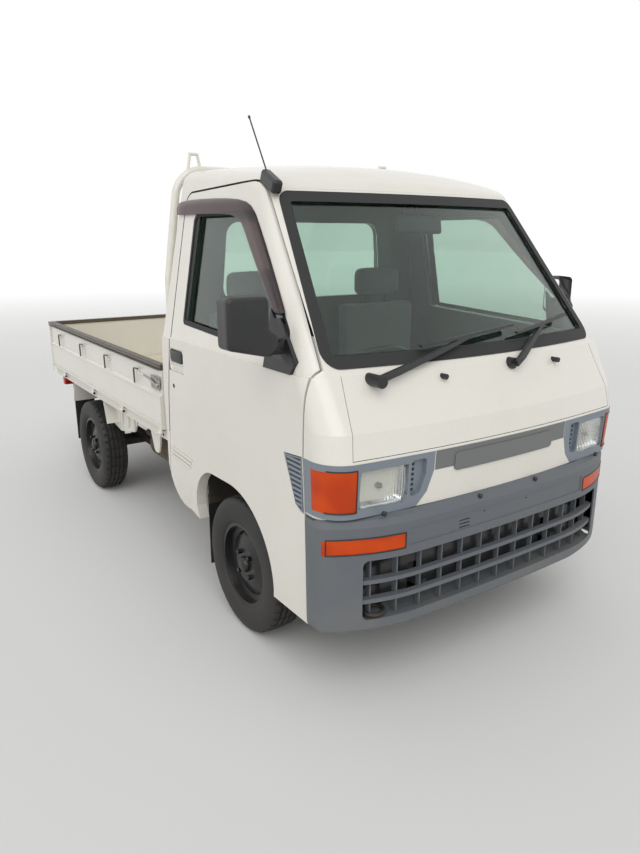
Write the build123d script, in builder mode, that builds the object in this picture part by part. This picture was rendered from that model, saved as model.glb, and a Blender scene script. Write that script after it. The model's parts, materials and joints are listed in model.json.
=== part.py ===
# A small cab-over pickup truck with drop sides, in millimetres.
# It stands on its tyres on z = 0 and faces -Y; its driver sits on the -X side.
from build123d import *
import os

os.makedirs("parts", exist_ok=True)

# Overall sizes
half_length = 1647.5
half_width = 697.5
wheelbase = 1900
front_axle_y = -965
rear_axle_y = front_axle_y + wheelbase

# Clearances
seat_gap = 0.3
pin_gap = 0.3
shut_gap = 7
bumper_gap = 9

# Wheels
tyre_radius = 264
tyre_width = 145
wheel_x = 606.5
rim_radius = 155
axle_r = 14
stud_circle_r = 55
stud_count = 4
stud_r = 6
axle_z = tyre_radius

# Front strut line, on which each front wheel steers: outward distance at the floor and at its top
strut_foot_x = 607
strut_top_x = 474.4
strut_top_z = 600
strut_r = 20

# Cab
cab_wall = 42
cab_rear = -340
cab_bottom = 268
belt_z = 1072
bumper_top = 655
lamp_top = 832
crease_z = 915
roof_edge = 50
header_z = 1624
floor_z = 432
floor_sheet = 8
riser_z = 640
riser_y = -1268
pane = 5

# Bed
bed_front = -300
bed_end = 1608
deck_z = 655
deck_sheet = 6
deck_half = 659
sill_drop = 94
gate_foot = 648
gate_top = 937
gate_face = 692
gate_thick = 28
gate_pin_x = 687
gate_pin_z = 622
gate_pin_r = 5

# Frame rails
rail_inner = 305
rail_outer = 355
rail_low_top = 425
rail_high_top = 560
rail_depth = 85

# Plan sections of the cab: height, half width, front at the middle,
# fall of the front at the side, corner radius, rear
lower_sections = (
    (cab_bottom, 690, -1560, 18, 60, cab_rear),
    (bumper_top + 1, 692, -1562, 18, 60, cab_rear - 6),
)
lower_room = (
    (cab_bottom, 690, -1560, 18, 100, cab_rear),
    (bumper_top + 9, 690, -1562, 18, 100, cab_rear - 6),
)
nose_sections = (
    (bumper_top + 1, 692.5, -1624, 50, 105, cab_rear - 6),
    (lamp_top, 697.5, -1632, 50, 105, cab_rear - 12),
    (crease_z, 697.5, -1620, 58, 104, cab_rear - 16),
    (belt_z, 696, -1553, 84, 84, cab_rear - 22),
)
upper_sections = (
    (belt_z, 690, -1553, 84, 84, cab_rear - 22),
    (1800, 551.5, -980, 55, 55, cab_rear - 45),
)

# Roof line along the middle, y and z, and the centre that its arch turns about
crown_line = ((-1400, 1480), (-1180, 1607), (-1090, 1656), (-1000, 1700), (-850, 1728), (-600, 1751), (-250, 1766))
arch_centre = -2030

# Door outline in side view, front bottom first: y, z
door_outline = (
    (-1455, cab_bottom),
    (-1446, 619),
    (-1443, 825),
    (-1453, 1078),
    (-1458, 1092),
    (-1020, 1650),
    (-438, 1632),
    (-446, 1066),
    (-381, 651),
    (-372, 560),
    (-345, 300),
    (-345, cab_bottom),
)
door_rounds = (((-1020, 1650), 115), ((-438, 1632), 50))
# The band beside the cab that holds the whole thickness of a door: x, z
door_band = ((-800, 200), (-646, 200), (-646, belt_z), (-546, 1641), (-535, 1700), (-800, 1700))
# Side window outline and its corner radii: y, z
window_outline = ((-530, 1556), (-545, 1138), (-1338, 1100), (-1338, 1186), (-1010, 1556))
window_rounds = tuple(zip(window_outline, (30, 22, 30, 60, 85)))
# Mirror head, x and z; the left one is found folded back by an angle
mirror_outline = ((-894, 1306), (-757, 1306), (-757, 1212), (-728, 1192), (-728, 1150), (-757, 1126), (-894, 1158))
mirror_fold = 60
mirror_pivot = (-728, -1240, 0)
mirror_patch = ((-1222, 1040), (-1222, 1292), (-1400, 1110), (-1375, 1052))
louvre_outline = ((-1333, 819), (-1440, 829), (-1442, 642), (-1400, 661))
visor_outline = ((-367, 1600), (-1010, 1600), (-1308, 1233), (-1245, 1225), (-975, 1545), (-380, 1552))
# Windscreen outline, right half: x, z
screen_outline = ((634, 1091), (549, 1616))
screen_corner = 45
seal_width = 34
rear_outline = ((-430, 1200), (430, 1200), (400, 1530), (-400, 1530))

# Door hinge, on a vertical pin inside the corner post
hinge_x = 680
hinge_y = -1505
hinge_pin = 3.5
hinge_eye = 7.5
hinge_levels = (400, 853)
hinge_half = 15
# Hinge arm seen from above, from its eye round behind the corner post to the door: inboard, rearward
arm_path = ((0, -4.5), (60, 18), (60, 104), (24, 104), (24, 88), (52, 88), (52, 26), (0, 4.5))


def block(x, y, z, mode=Mode.ADD):
    """A box between two corners, in the part being built."""
    spans = [abs(high - low) for low, high in (x, y, z)]
    middle = tuple((low + high) / 2 for low, high in (x, y, z))
    with Locations(middle):
        return Box(*spans, mode=mode)


def rod(start, end, radius, mode=Mode.ADD):
    """A round bar between two points, in the part being built."""
    run = Vector(end) - Vector(start)
    with BuildSketch(Plane(origin=start, z_dir=run)) as section:
        Circle(radius)
    return extrude(section.sketch, amount=run.length, mode=mode)


def side_prism(points, x0, x1, grow=0, rounds=()):
    """A solid from a side outline of (y, z) corners, between two x planes."""
    with BuildPart() as solid:
        with BuildSketch(Plane.YZ.offset(x0)) as outline:
            with BuildLine():
                Polyline(*points, close=True)
            make_face()
            for (y, z), radius in rounds:
                fillet(outline.vertices().sort_by_distance((y, z, 0))[0], radius)
            if grow:
                offset(amount=grow, kind=Kind.INTERSECTION)
        extrude(amount=x1 - x0)
    return solid.part


def front_prism(points, y0, y1, grow=0, corner=0):
    """A solid from a front outline of (x, z) corners, between two y planes."""
    with BuildPart() as solid:
        with BuildSketch(Plane.XZ.offset(-y0)) as outline:
            with BuildLine():
                Polyline(*points, close=True)
            make_face()
            if corner:
                fillet(outline.vertices(), corner)
            if grow:
                offset(amount=grow, kind=Kind.INTERSECTION)
        extrude(amount=y0 - y1)
    return solid.part


def plan_prism(points, z0, z1):
    """A solid from a plan outline of (x, y) corners, between two heights."""
    with BuildPart() as solid:
        with BuildSketch(Plane.XY.offset(z0)):
            with BuildLine():
                Polyline(*points, close=True)
            make_face()
        extrude(amount=z1 - z0)
    return solid.part


def cab_loft(sections, inset=0):
    """A cab volume through its plan sections, drawn in by a wall."""
    with BuildPart() as volume:
        for z, half, front, fall, corner, rear in sections:
            side = half - inset
            nose = front + inset
            with BuildSketch(Plane.XY.offset(z)) as plan:
                with BuildLine():
                    Polyline(
                        (side, nose + fall), (side, rear - inset), (-side, rear - inset), (-side, nose + fall)
                    )
                    ThreePointArc((-side, nose + fall), (0, nose), (side, nose + fall))
                make_face()
                fillet(plan.vertices().group_by(Axis.Y)[0], max(corner - inset * 0.8, 12))
        loft(ruled=True)
    return volume.part


def under_crown(inset=0):
    """Everything below the arched roof, drawn down by a wall."""
    with BuildPart() as volume:
        with BuildSketch(Plane.YZ):
            with BuildLine():
                top = Spline(*[(y, z - inset) for y, z in crown_line])
                Polyline(top @ 1, (-250, 1000), (-1800, 1000), (-1800, 1480 - inset), top @ 0)
            make_face()
        revolve(axis=Axis((0, 0, arch_centre), (0, 1, 0)))
    return volume.part


def greenhouse(inset=0, edge=roof_edge):
    """The cab above the belt, with its arched roof and rounded roof edge."""
    with BuildPart() as volume:
        add(cab_loft(upper_sections, inset))
        add(under_crown(inset), mode=Mode.INTERSECT)
        if edge:
            fillet(max(volume.faces(), key=lambda face: face.center().Z).edges(), edge)
    return volume.part


def skin(sections, outer, inner):
    """A layer of the cab between two depths under its outer face."""
    with BuildPart() as layer:
        add(cab_loft(sections, outer))
        add(cab_loft(sections, inner), mode=Mode.SUBTRACT)
    return layer.part


def common(first, second):
    """What two solids share."""
    with BuildPart() as shared:
        add(first)
        add(second, mode=Mode.INTERSECT)
    return shared.part


def twin(solid):
    """The same solid on the other side of the truck."""
    return mirror(solid, about=Plane.YZ, mode=Mode.PRIVATE)


def save(builder, label):
    """Write one finished piece under its name."""
    builder.part.label = label
    export_step(builder.part, f"parts/{label}.step")


def save_pair(solid, label, other=None):
    """Write a right-hand piece and its left-hand twin, or the twin of another."""
    for side, piece in (("right", solid), ("left", twin(other or solid))):
        piece.label = f"{label}_{side}"
        export_step(piece, f"parts/{label}_{side}.step")


def at_hinge(points):
    """Plan points given inboard and rearward of the right door's hinge."""
    return [(x - hinge_x, y + hinge_y) for x, y in points]


def bumper_loft(levels, extra=0):
    """The bumper's volume through its plans: height and how far each is drawn in."""
    with BuildPart() as volume:
        for z, drawn in levels:
            inset = drawn + extra
            edge = half_width - inset
            with BuildSketch(Plane.XY.offset(z)) as plan:
                with BuildLine():
                    Polyline((edge, -1534.5), (edge, -1400), (-edge, -1400), (-edge, -1534.5))
                    for side in (-1, 1):
                        ThreePointArc(
                            (side * edge, -1534.5),
                            (side * (570 - inset / 2), -1602 + inset),
                            (side * 400, -1638.5 + inset),
                        )
                    ThreePointArc((400, -1638.5 + inset), (0, -half_length + inset), (-400, -1638.5 + inset))
                make_face()
                fillet([v for v in plan.vertices() if abs(v.Y + 1534.5) < 0.1], 50)
        loft(ruled=True)
    return volume.part


# The hollow cab
with BuildPart() as cab_shell:
    add(cab_loft(lower_sections))
    add(cab_loft(nose_sections))
    add(greenhouse())
    add(cab_loft(lower_room, cab_wall), mode=Mode.SUBTRACT)
    add(cab_loft(nose_sections, cab_wall), mode=Mode.SUBTRACT)
    add(greenhouse(cab_wall, 0), mode=Mode.SUBTRACT)

# The room inside the cab, which trims what lies against its walls
with BuildPart() as cab_room:
    add(cab_loft(lower_room, cab_wall + seat_gap))
    add(cab_loft(nose_sections, cab_wall + seat_gap))
    add(cab_loft(upper_sections, cab_wall + seat_gap))

# Rounded lower rear corner of the cab side, and the front wheel arch
with BuildPart() as side_cuts:
    with BuildSketch(Plane.YZ.offset(-800)):
        with BuildLine():
            Polyline(
                (-345, 505), (-335, 560), (-250, 560), (-250, 200), (-660, 200), (-660, 345), (-560, 362)
            )
            ThreePointArc((-560, 362), (-410, 402), (-345, 505))
        make_face()
        with BuildLine():
            Polyline((-1244, 300), (-1240, 200), (-655, 200), (-655, 330), (-626, 400), (-626, 440))
            ThreePointArc((-626, 440), (-674, 535), (-780, 583))
            Line((-780, 583), (-926, 587))
            ThreePointArc((-926, 587), (-1152, 498), (-1244, 300))
        make_face()
    extrude(amount=1600)

# Right door: a hollow panel as thick as the cab wall, with its window cut
with BuildPart() as door_panel:
    add(cab_shell.part)
    add(side_prism(door_outline, -800, -470, rounds=door_rounds), mode=Mode.INTERSECT)
    add(front_prism(door_band, -1700, 0), mode=Mode.INTERSECT)
    add(side_cuts.part, mode=Mode.SUBTRACT)
    add(side_prism(window_outline, -800, -400, rounds=window_rounds), mode=Mode.SUBTRACT)
    for level in hinge_levels:
        add(plan_prism(at_hinge(arm_path), level - hinge_half, level + hinge_half))
        with Locations((-hinge_x, hinge_y, level)):
            Cylinder(hinge_eye, 2 * hinge_half)
            Cylinder(hinge_pin + pin_gap, 3 * hinge_half, mode=Mode.SUBTRACT)
    block((-720, -682), (-572, -430), (940, 1036), Mode.SUBTRACT)
    add(side_prism(louvre_outline, -720, -684, grow=seat_gap), mode=Mode.SUBTRACT)
save_pair(door_panel.part, "door_panel")

with BuildPart() as door_glass:
    add(skin(upper_sections, 16, 16 + pane))
    add(side_prism(window_outline, -800, -400, grow=-seat_gap, rounds=window_rounds), mode=Mode.INTERSECT)
save_pair(door_glass.part, "door_glass")

# Black mirror on its three-cornered base, outside handle and corner louvre
with BuildPart() as mirror_head:
    add(front_prism(mirror_outline, -1372, -1305, corner=18))
    fillet(mirror_head.faces().sort_by(Axis.Y)[0].edges(), 12)


def door_trim(pivot, fold, arm_end):
    """The trim of a right-hand door, with its mirror head folded back by an angle."""
    turn = Location(pivot, (0, 0, -fold)) * Location((728, 1305, 0))
    with BuildPart() as trim:
        add(common(skin(upper_sections, -12, -seat_gap), side_prism(mirror_patch, -760, -600)))
        add(mirror_head.part.moved(turn))
        block((arm_end, -688), (pivot[1] - 31, pivot[1] + 5), (1128, 1172))
        add(cab_loft(upper_sections, -seat_gap), mode=Mode.SUBTRACT)
        block((-692, -682 - seat_gap), (-566, -436), (946, 1030))
        add(side_prism(louvre_outline, -698, -684 - seat_gap))
        add(side_prism(visor_outline, -800, -500, grow=seat_gap), mode=Mode.SUBTRACT)
    return trim.part


save_pair(door_trim((-728, -1305, 0), 0, -745), "door_trim", door_trim(mirror_pivot, mirror_fold, -768))

with BuildPart() as door_visor:
    add(skin(upper_sections, -15, -seat_gap))
    add(side_prism(visor_outline, -760, -500), mode=Mode.INTERSECT)
    add(
        common(
            skin(upper_sections, -12, 0),
            side_prism(visor_outline, -760, -500, grow=-8),
        ),
        mode=Mode.SUBTRACT,
    )
save_pair(door_visor.part, "door_visor")

# Cab parts left round the door openings
with BuildPart() as door_opening:
    add(side_prism(door_outline, -800, -470, grow=shut_gap, rounds=door_rounds))
    add(front_prism(door_band, -1700, 0, grow=shut_gap), mode=Mode.INTERSECT)

with BuildPart() as cab_body:
    add(cab_shell.part)
    add(door_opening.part, mode=Mode.SUBTRACT)
    add(twin(door_opening.part), mode=Mode.SUBTRACT)
    add(side_cuts.part, mode=Mode.SUBTRACT)

with BuildPart() as cab_roof:
    add(cab_body.part)
    with BuildPart(mode=Mode.INTERSECT):
        block((-800, 800), (-1700, 0), (header_z, 1900))
        block((-800, 800), (-1000 + seat_gap, -520 - seat_gap), (1500, 1900))
save(cab_roof, "cab_roof")

with BuildPart() as cab_back:
    add(cab_body.part)
    block((-800, 800), (-520, 0), (440, header_z - seat_gap), Mode.INTERSECT)
    add(front_prism(rear_outline, -700, 0, corner=60), mode=Mode.SUBTRACT)
    block((-560, 560), (-520, 0), (400, rail_high_top + 12), Mode.SUBTRACT)
save(cab_back, "cab_back")

with BuildPart() as rear_window:
    add(front_prism(rear_outline, -404, -404 + pane, grow=-seat_gap, corner=60))
save(rear_window, "rear_window")

# Front outlines: x, z
screen_points = screen_outline + tuple((-x, z) for x, z in reversed(screen_outline))
nose_outline = ((-618, 838), (618, 838), (590, 1098), (-590, 1098))
garnish_outline = ((-316, 766), (316, 766), (316, 829), (-316, 829))
plate_outline = ((-238, 750), (238, 750), (238, 812), (-238, 812))
bezel_outline = ((-720, 655), (-384, 655), (-344, 700), (-320, 768), (-320, 829), (-720, 829))
turn_outline = ((-720, 676), (-600, 674), (-600, 812), (-720, 806))
head_outline = ((-594, 684), (-432, 680), (-420, 700), (-420, 803), (-590, 803))
pocket_outline = ((-410, 690), (-372, 700), (-352, 760), (-352, 812), (-410, 812))
nose_panel_depth = 12
turn_rear = -1488
bezel_depth = 30
garnish_depth = 10

bumper_levels = (
    (266, 12), (282, 1), (312, 0), (625, 0), (645, 8), (bumper_top, 24)
)
lamp_front = ((-690, 538), (-438, 540), (-438, 592), (-690, 588))
grille_front = ((-579, 312), (579, 312), (579, 515), (-579, 515))
bumper_inner = (
    (246, 12), (282, 1), (312, 0), (625, 0), (645, 8), (bumper_top + 1, 25)
)
bumper_wall = 5
lamp_depth = 12
grille_depth = 30
fin_depth = 40
band_front = ((-428, 545), (428, 545), (428, 602), (-428, 602))
plate_holes = 210
plate_hole_r = 3.5
plate_z = 588

with BuildPart() as nose_panel:
    add(skin(nose_sections, 0, nose_panel_depth))
    add(front_prism(nose_outline, -1800, -1400, grow=-2), mode=Mode.INTERSECT)
save(nose_panel, "nose_panel")

# Grey plastic round the lamps, with the garnish strip and its bare raised plate between
with BuildPart() as bezel:
    add(skin(nose_sections, -1, bezel_depth))
    add(front_prism(bezel_outline, -1700, -1452), mode=Mode.INTERSECT)
    add(front_prism(turn_outline, -1700, turn_rear), mode=Mode.SUBTRACT)
    add(front_prism(head_outline, -1700, -1440), mode=Mode.SUBTRACT)
    add(
        common(skin(nose_sections, -3, 14), front_prism(pocket_outline, -1700, -1440, corner=12)),
        mode=Mode.SUBTRACT,
    )
    for slot in range(6):
        block((-398, -386), (-1700, -1500), (704 + 17 * slot, 714 + 17 * slot), Mode.SUBTRACT)

garnish_front = front_prism(garnish_outline, -1700, -1440)
plate_front = front_prism(plate_outline, -1700, -1440, corner=14)
with BuildPart() as nose_trim:
    add(bezel.part)
    add(twin(bezel.part))
    add(common(skin(nose_sections, -1, garnish_depth), garnish_front))
    add(common(skin(nose_sections, -5, garnish_depth), plate_front))
save(nose_trim, "nose_trim")

head_right = common(skin(nose_sections, 4, bezel_depth), front_prism(head_outline, -1700, -1440, grow=-seat_gap))
with BuildPart() as headlamps:
    add(head_right)
    add(twin(head_right))
save(headlamps, "headlamps")

with BuildPart() as bumper_room:
    add(bumper_loft(((bumper_levels[0][0] - 1, 14),) + bumper_levels[1:], -seat_gap))
    add(bumper_loft(bumper_inner, bumper_wall + seat_gap), mode=Mode.SUBTRACT)
    block((-800, 800), (-1446 - bumper_gap, -1300), (200, 700), Mode.SUBTRACT)
with BuildPart() as bumper_lamp_room:
    add(bumper_loft(((500, 0), (630, 0)), -1))
    add(bumper_loft(((490, 0), (640, 0)), lamp_depth + seat_gap), mode=Mode.SUBTRACT)
    add(front_prism(lamp_front, -1800, -1450, grow=seat_gap), mode=Mode.INTERSECT)

with BuildPart() as cab_front:
    add(cab_body.part)
    block((-800, 800), (-1700, -1000), (cab_bottom, header_z - seat_gap), Mode.INTERSECT)
    add(front_prism(screen_points, -1800, -900, grow=seat_gap, corner=screen_corner), mode=Mode.SUBTRACT)
    add(
        common(
            skin(nose_sections, -5, nose_panel_depth + seat_gap), front_prism(nose_outline, -1800, -1400)
        ),
        mode=Mode.SUBTRACT,
    )
    lamp_room = common(
        skin(nose_sections, -5, bezel_depth + seat_gap),
        front_prism(bezel_outline, -1700, -1440, grow=seat_gap),
    )
    add(lamp_room, mode=Mode.SUBTRACT)
    add(twin(lamp_room), mode=Mode.SUBTRACT)
    garnish_room = skin(nose_sections, -5, garnish_depth + seat_gap)
    add(
        common(garnish_room, front_prism(garnish_outline, -1700, -1440, grow=seat_gap)), mode=Mode.SUBTRACT
    )
    add(
        common(garnish_room, front_prism(plate_outline, -1700, -1440, grow=seat_gap, corner=14)),
        mode=Mode.SUBTRACT,
    )
    for side in (-1, 1):
        for level in hinge_levels:
            block(
                (side * (hinge_x + 8.5), side * (hinge_x - 80)),
                (hinge_y - 10, hinge_y + 70),
                (level - hinge_half - 5, level + hinge_half + 5),
                Mode.SUBTRACT,
            )
            with Locations((side * hinge_x, hinge_y, level)):
                Cylinder(hinge_pin, 2 * hinge_half + 12)
    add(bumper_room.part, mode=Mode.SUBTRACT)
    block((-800, 800), (-1700, -1446 - bumper_gap), (200, 310), Mode.SUBTRACT)
    add(bumper_lamp_room.part, mode=Mode.SUBTRACT)
    add(twin(bumper_lamp_room.part), mode=Mode.SUBTRACT)
    for side in (-1, 1):
        block(
            (side * (rail_inner - 4), side * (rail_outer + 4)), (-1700, -1400),
            (rail_low_top - rail_depth - 4, floor_z), Mode.SUBTRACT,
        )
save(cab_front, "cab_front")


with BuildPart() as windscreen_seal:
    add(skin(upper_sections, -3, 20))
    add(front_prism(screen_points, -1800, -900, corner=screen_corner), mode=Mode.INTERSECT)
    add(
        front_prism(screen_points, -1800, -900, grow=-seal_width, corner=screen_corner), mode=Mode.SUBTRACT
    )
save(windscreen_seal, "windscreen_seal")

with BuildPart() as windscreen:
    add(skin(upper_sections, 8, 8 + pane))
    add(
        front_prism(screen_points, -1800, -900, grow=-seal_width - seat_gap, corner=screen_corner),
        mode=Mode.INTERSECT,
    )
save(windscreen, "windscreen")

# Wipers, parked along the foot of the glass, and washer jets: pivot x, blade start, blade end
wipers_table = ((-499, (-300, 1140), (140, 1176)), (70, (140, 1150), (480, 1186)))
wiper_pivot_z = 1058
with BuildPart() as wiper_skin:
    add(cab_loft(nose_sections, -34))
    add(cab_loft(upper_sections, -34))
    add(cab_loft(nose_sections, -22), mode=Mode.SUBTRACT)
    add(cab_loft(upper_sections, -22), mode=Mode.SUBTRACT)

with BuildPart() as wipers:
    for pivot, start, end in wipers_table:
        middle = ((start[0] + end[0]) / 2, (start[1] + end[1]) / 2)
        strips = front_prism(
            ((pivot, 1050), (middle[0], middle[1] - 5), (middle[0], middle[1] + 5), (pivot, 1068)), -1800, -1300
        )
        add(common(wiper_skin.part, strips))
        blade = front_prism(
            ((start[0], start[1] - 4), (end[0], end[1] - 4), (end[0], end[1] + 4), (start[0], start[1] + 4)),
            -1800,
            -1300,
        )
        add(common(wiper_skin.part, blade))
        rod((pivot, -1575, wiper_pivot_z), (pivot, -1480, wiper_pivot_z), 19)
    for jet in (-241, 308):
        rod((jet, -1575, 1046), (jet, -1500, 1046), 9)
    add(cab_loft(nose_sections, -seat_gap), mode=Mode.SUBTRACT)
    add(cab_loft(upper_sections, -seat_gap), mode=Mode.SUBTRACT)
save(wipers, "wipers")

# Radio aerial on a drop-shaped foot at the head of the right pillar
with BuildPart() as aerial_foot:
    with Locations(Location((-560, -1054, 1643), (24, 0, -6))):
        Box(36, 116, 46)
    fillet(aerial_foot.edges(), 12)

with BuildPart() as aerial:
    add(aerial_foot.part)
    rod((-560, -1036, 1660), (-560, -915, 1858), 2.5)
    rod((-560, -919, 1851), (-560, -915, 1858), 4)
    add(greenhouse(-seat_gap), mode=Mode.SUBTRACT)
save(aerial, "aerial")

# Cab floor: footwell, riser over the front wheels and engine, inner arches, strut cups
arch_inner = 380
with BuildPart() as cab_floor:
    block((-640, 640), (-1600, riser_y), (floor_z, floor_z + floor_sheet))
    block((-640, 640), (riser_y - floor_sheet, riser_y), (floor_z, riser_z))
    block((-640, 640), (riser_y - floor_sheet, -300), (riser_z - floor_sheet, riser_z))
    for side in (-1, 1):
        block((side * arch_inner, side * (arch_inner + 8)), (riser_y, -632), (rail_low_top + 20, riser_z))
        block((side * arch_inner, side * 640), (-640, -632), (400, riser_z))
    add(cab_room.part, mode=Mode.INTERSECT)
    for side in (-1, 1):
        strut_top = (side * strut_top_x, front_axle_y, strut_top_z)
        strut_low = (side * (strut_top_x + 8.84), front_axle_y, strut_top_z - 40)
        rod(strut_low, (side * (strut_top_x - 8.84), front_axle_y, strut_top_z + 40), strut_r + 14)
    block((-640, 640), (riser_y, -632), (riser_z, 700), Mode.SUBTRACT)
    for side in (-1, 1):
        rod(
            (side * strut_foot_x, front_axle_y, 0),
            (side * strut_top_x, front_axle_y, strut_top_z),
            strut_r + pin_gap,
            Mode.SUBTRACT,
        )
save(cab_floor, "cab_floor")

with BuildPart() as dashboard:
    with BuildSketch(Plane.YZ.offset(-640)):
        with BuildLine():
            Polyline(
                (-1600, 1010), (-1600, 780), (-1420, 700), (-1380, 700), (-1345, 800), (-1350, 960), (-1400, 1010),
                close=True,
            )
        make_face()
    extrude(amount=1280)
    add(cab_room.part, mode=Mode.INTERSECT)
    block((-800, -590), (-1700, -1300), (600, 1100), Mode.SUBTRACT)
    block((590, 800), (-1700, -1300), (600, 1100), Mode.SUBTRACT)
    rod((-330, -1475, 712), (-330, -1242.9, 990.55), 22)
save(dashboard, "dashboard")

# Steering wheel on its raked column
wheel_plane = Plane(origin=(-330, -1235, 1000), x_dir=(1, 0, 0), z_dir=(0, 0.64, 0.768))
with BuildPart() as steering_wheel:
    with BuildSketch(Plane(origin=wheel_plane.origin, x_dir=wheel_plane.x_dir, z_dir=wheel_plane.y_dir)):
        with Locations((178, 0)):
            Circle(13)
    revolve(axis=Axis(wheel_plane.origin, wheel_plane.z_dir))
    with BuildSketch(wheel_plane.offset(-12)):
        Circle(42)
        with Locations((0, -50)):
            Rectangle(40, 240)
        Rectangle(356, 30)
    extrude(amount=18)
save(steering_wheel, "steering_wheel")

# Seats: cushion, back and headrest, right and left
with BuildPart() as seats:
    for x in (-330, 330):
        block((x - 235, x + 235), (-1030, -560), (riser_z + seat_gap, 770))
        block((x - 225, x + 225), (-560, -446), (740, 1190))
        block((x - 130, x + 130), (-540, -456), (1190, 1340))
save(seats, "seats")

# Bed: deck on cross sills, side sills and front wall
with BuildPart() as bed_deck:
    block((-deck_half, deck_half), (bed_front, bed_end), (deck_z - deck_sheet, deck_z))
    for y in (-260, 60, 380, 700, 1020, 1340, 1562):
        block((-deck_half, deck_half), (y, y + 46), (deck_z - 52, deck_z - deck_sheet))
    for side in (-1, 1):
        block(
            (side * rail_inner, side * rail_outer), (bed_front, bed_end - 20),
            (rail_high_top + seat_gap, deck_z - 52),
        )
        block((side * 645, side * 674), (bed_front, bed_end), (596, 643))
    block((-655, 655), (bed_front - 6, bed_front), (600, 925))
save(bed_deck, "bed_deck")

# Tube guard frame behind the cab, with its two hoops
guard_r = 17
guard_half = 600
guard_y = bed_front - 6 - seat_gap - guard_r
with BuildPart() as guard_frame:
    with BuildLine() as guard_line:
        FilletPolyline(
            (-guard_half - 35, guard_y, 560), (-guard_half - 35, guard_y, 1300), (-guard_half + 30, guard_y, 1735),
            (guard_half - 30, guard_y, 1735), (guard_half + 35, guard_y, 1300), (guard_half + 35, guard_y, 560),
            radius=120,
        )
    with BuildSketch(Plane(origin=guard_line.line @ 0, z_dir=guard_line.line % 0)):
        Circle(guard_r)
    sweep(transition=Transition.ROUND)
    rod((-guard_half - 20, guard_y, 1000), (guard_half + 20, guard_y, 1000), 12)
    for x in (-498, 498):
        rod((x - 28, guard_y, 1735), (x - 16, guard_y, 1796), 6)
        rod((x + 28, guard_y, 1735), (x + 16, guard_y, 1796), 6)
        rod((x - 20, guard_y, 1796), (x + 20, guard_y, 1796), 6)
save(guard_frame, "guard_frame")

# Gate section across its thickness: outward distance, height
gate_inner = gate_face - gate_thick
gate_section = (
    (gate_inner, gate_foot),
    (gate_face, gate_foot),
    (gate_face, 798),
    (gate_face - 8, 806),
    (gate_face - 8, 906),
    (gate_face, 911),
    (gate_face, gate_top),
    (gate_inner - 4, gate_top),
    (gate_inner - 4, 911),
    (gate_inner, 906),
)
hinge_places = (-256, 261, 757, 1350)
hook_places = (-60, 420, 900, 1380)
hook_z = 862
leaf_half = 16
with BuildPart() as side_gate:
    add(front_prism([(-x, z) for x, z in gate_section], bed_front, bed_end - 3))
    for y in hinge_places:
        block((-gate_pin_x - 4, -gate_pin_x + 2), (y - leaf_half, y + leaf_half), (gate_pin_z, gate_foot + 20))
    for y in hinge_places:
        rod((-gate_pin_x, y - leaf_half, gate_pin_z), (-gate_pin_x, y + leaf_half, gate_pin_z), 9)
        rod(
            (-gate_pin_x, y - 20, gate_pin_z), (-gate_pin_x, y + 20, gate_pin_z), gate_pin_r + pin_gap,
            Mode.SUBTRACT,
        )
    for y in hook_places:
        for end in (-1, 1):
            rod((-gate_face + 10, y + end * 22, hook_z), (-gate_face - 3, y + end * 22, hook_z), 3.5)
        rod((-gate_face - 1.5, y - 25, hook_z), (-gate_face - 1.5, y + 25, hook_z), 3.5)
save_pair(side_gate.part, "side_gate")

tail_pin_y = half_length - (half_width - gate_pin_x)
tail_places = (-520, 0, 520)
with BuildPart() as tailgate:
    add(side_prism([(tail_pin_y - gate_pin_x + x, z) for x, z in gate_section], -gate_face, gate_face))
    for x in tail_places:
        block((x - leaf_half, x + leaf_half), (tail_pin_y - 2, tail_pin_y + 4), (gate_pin_z, gate_foot + 20))
    for x in tail_places:
        rod((x - leaf_half, tail_pin_y, gate_pin_z), (x + leaf_half, tail_pin_y, gate_pin_z), 9)
        rod(
            (x - 20, tail_pin_y, gate_pin_z), (x + 20, tail_pin_y, gate_pin_z), gate_pin_r + pin_gap,
            Mode.SUBTRACT,
        )
save(tailgate, "tailgate")

# Hinge brackets and pins of the three gates, on the bed's sills
with BuildPart() as gate_hinges:
    for side in (-1, 1):
        for y in hinge_places:
            for end in (-1, 1):
                block(
                    (side * (674 + seat_gap), side * (gate_pin_x + 7)),
                    (y + end * (leaf_half + 1), y + end * (leaf_half + 7)),
                    (gate_pin_z - 9, gate_pin_z + 12),
                )
            rod(
                (side * gate_pin_x, y - leaf_half - 10, gate_pin_z),
                (side * gate_pin_x, y + leaf_half + 10, gate_pin_z),
                gate_pin_r,
            )
    for x in tail_places:
        for end in (-1, 1):
            block(
                (x + end * (leaf_half + 1), x + end * (leaf_half + 7)),
                (bed_end + seat_gap, tail_pin_y + 7),
                (gate_pin_z - 9, gate_pin_z + 12),
            )
        rod(
            (x - leaf_half - 10, tail_pin_y, gate_pin_z), (x + leaf_half + 10, tail_pin_y, gate_pin_z), gate_pin_r
        )
save(gate_hinges, "gate_hinges")


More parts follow.
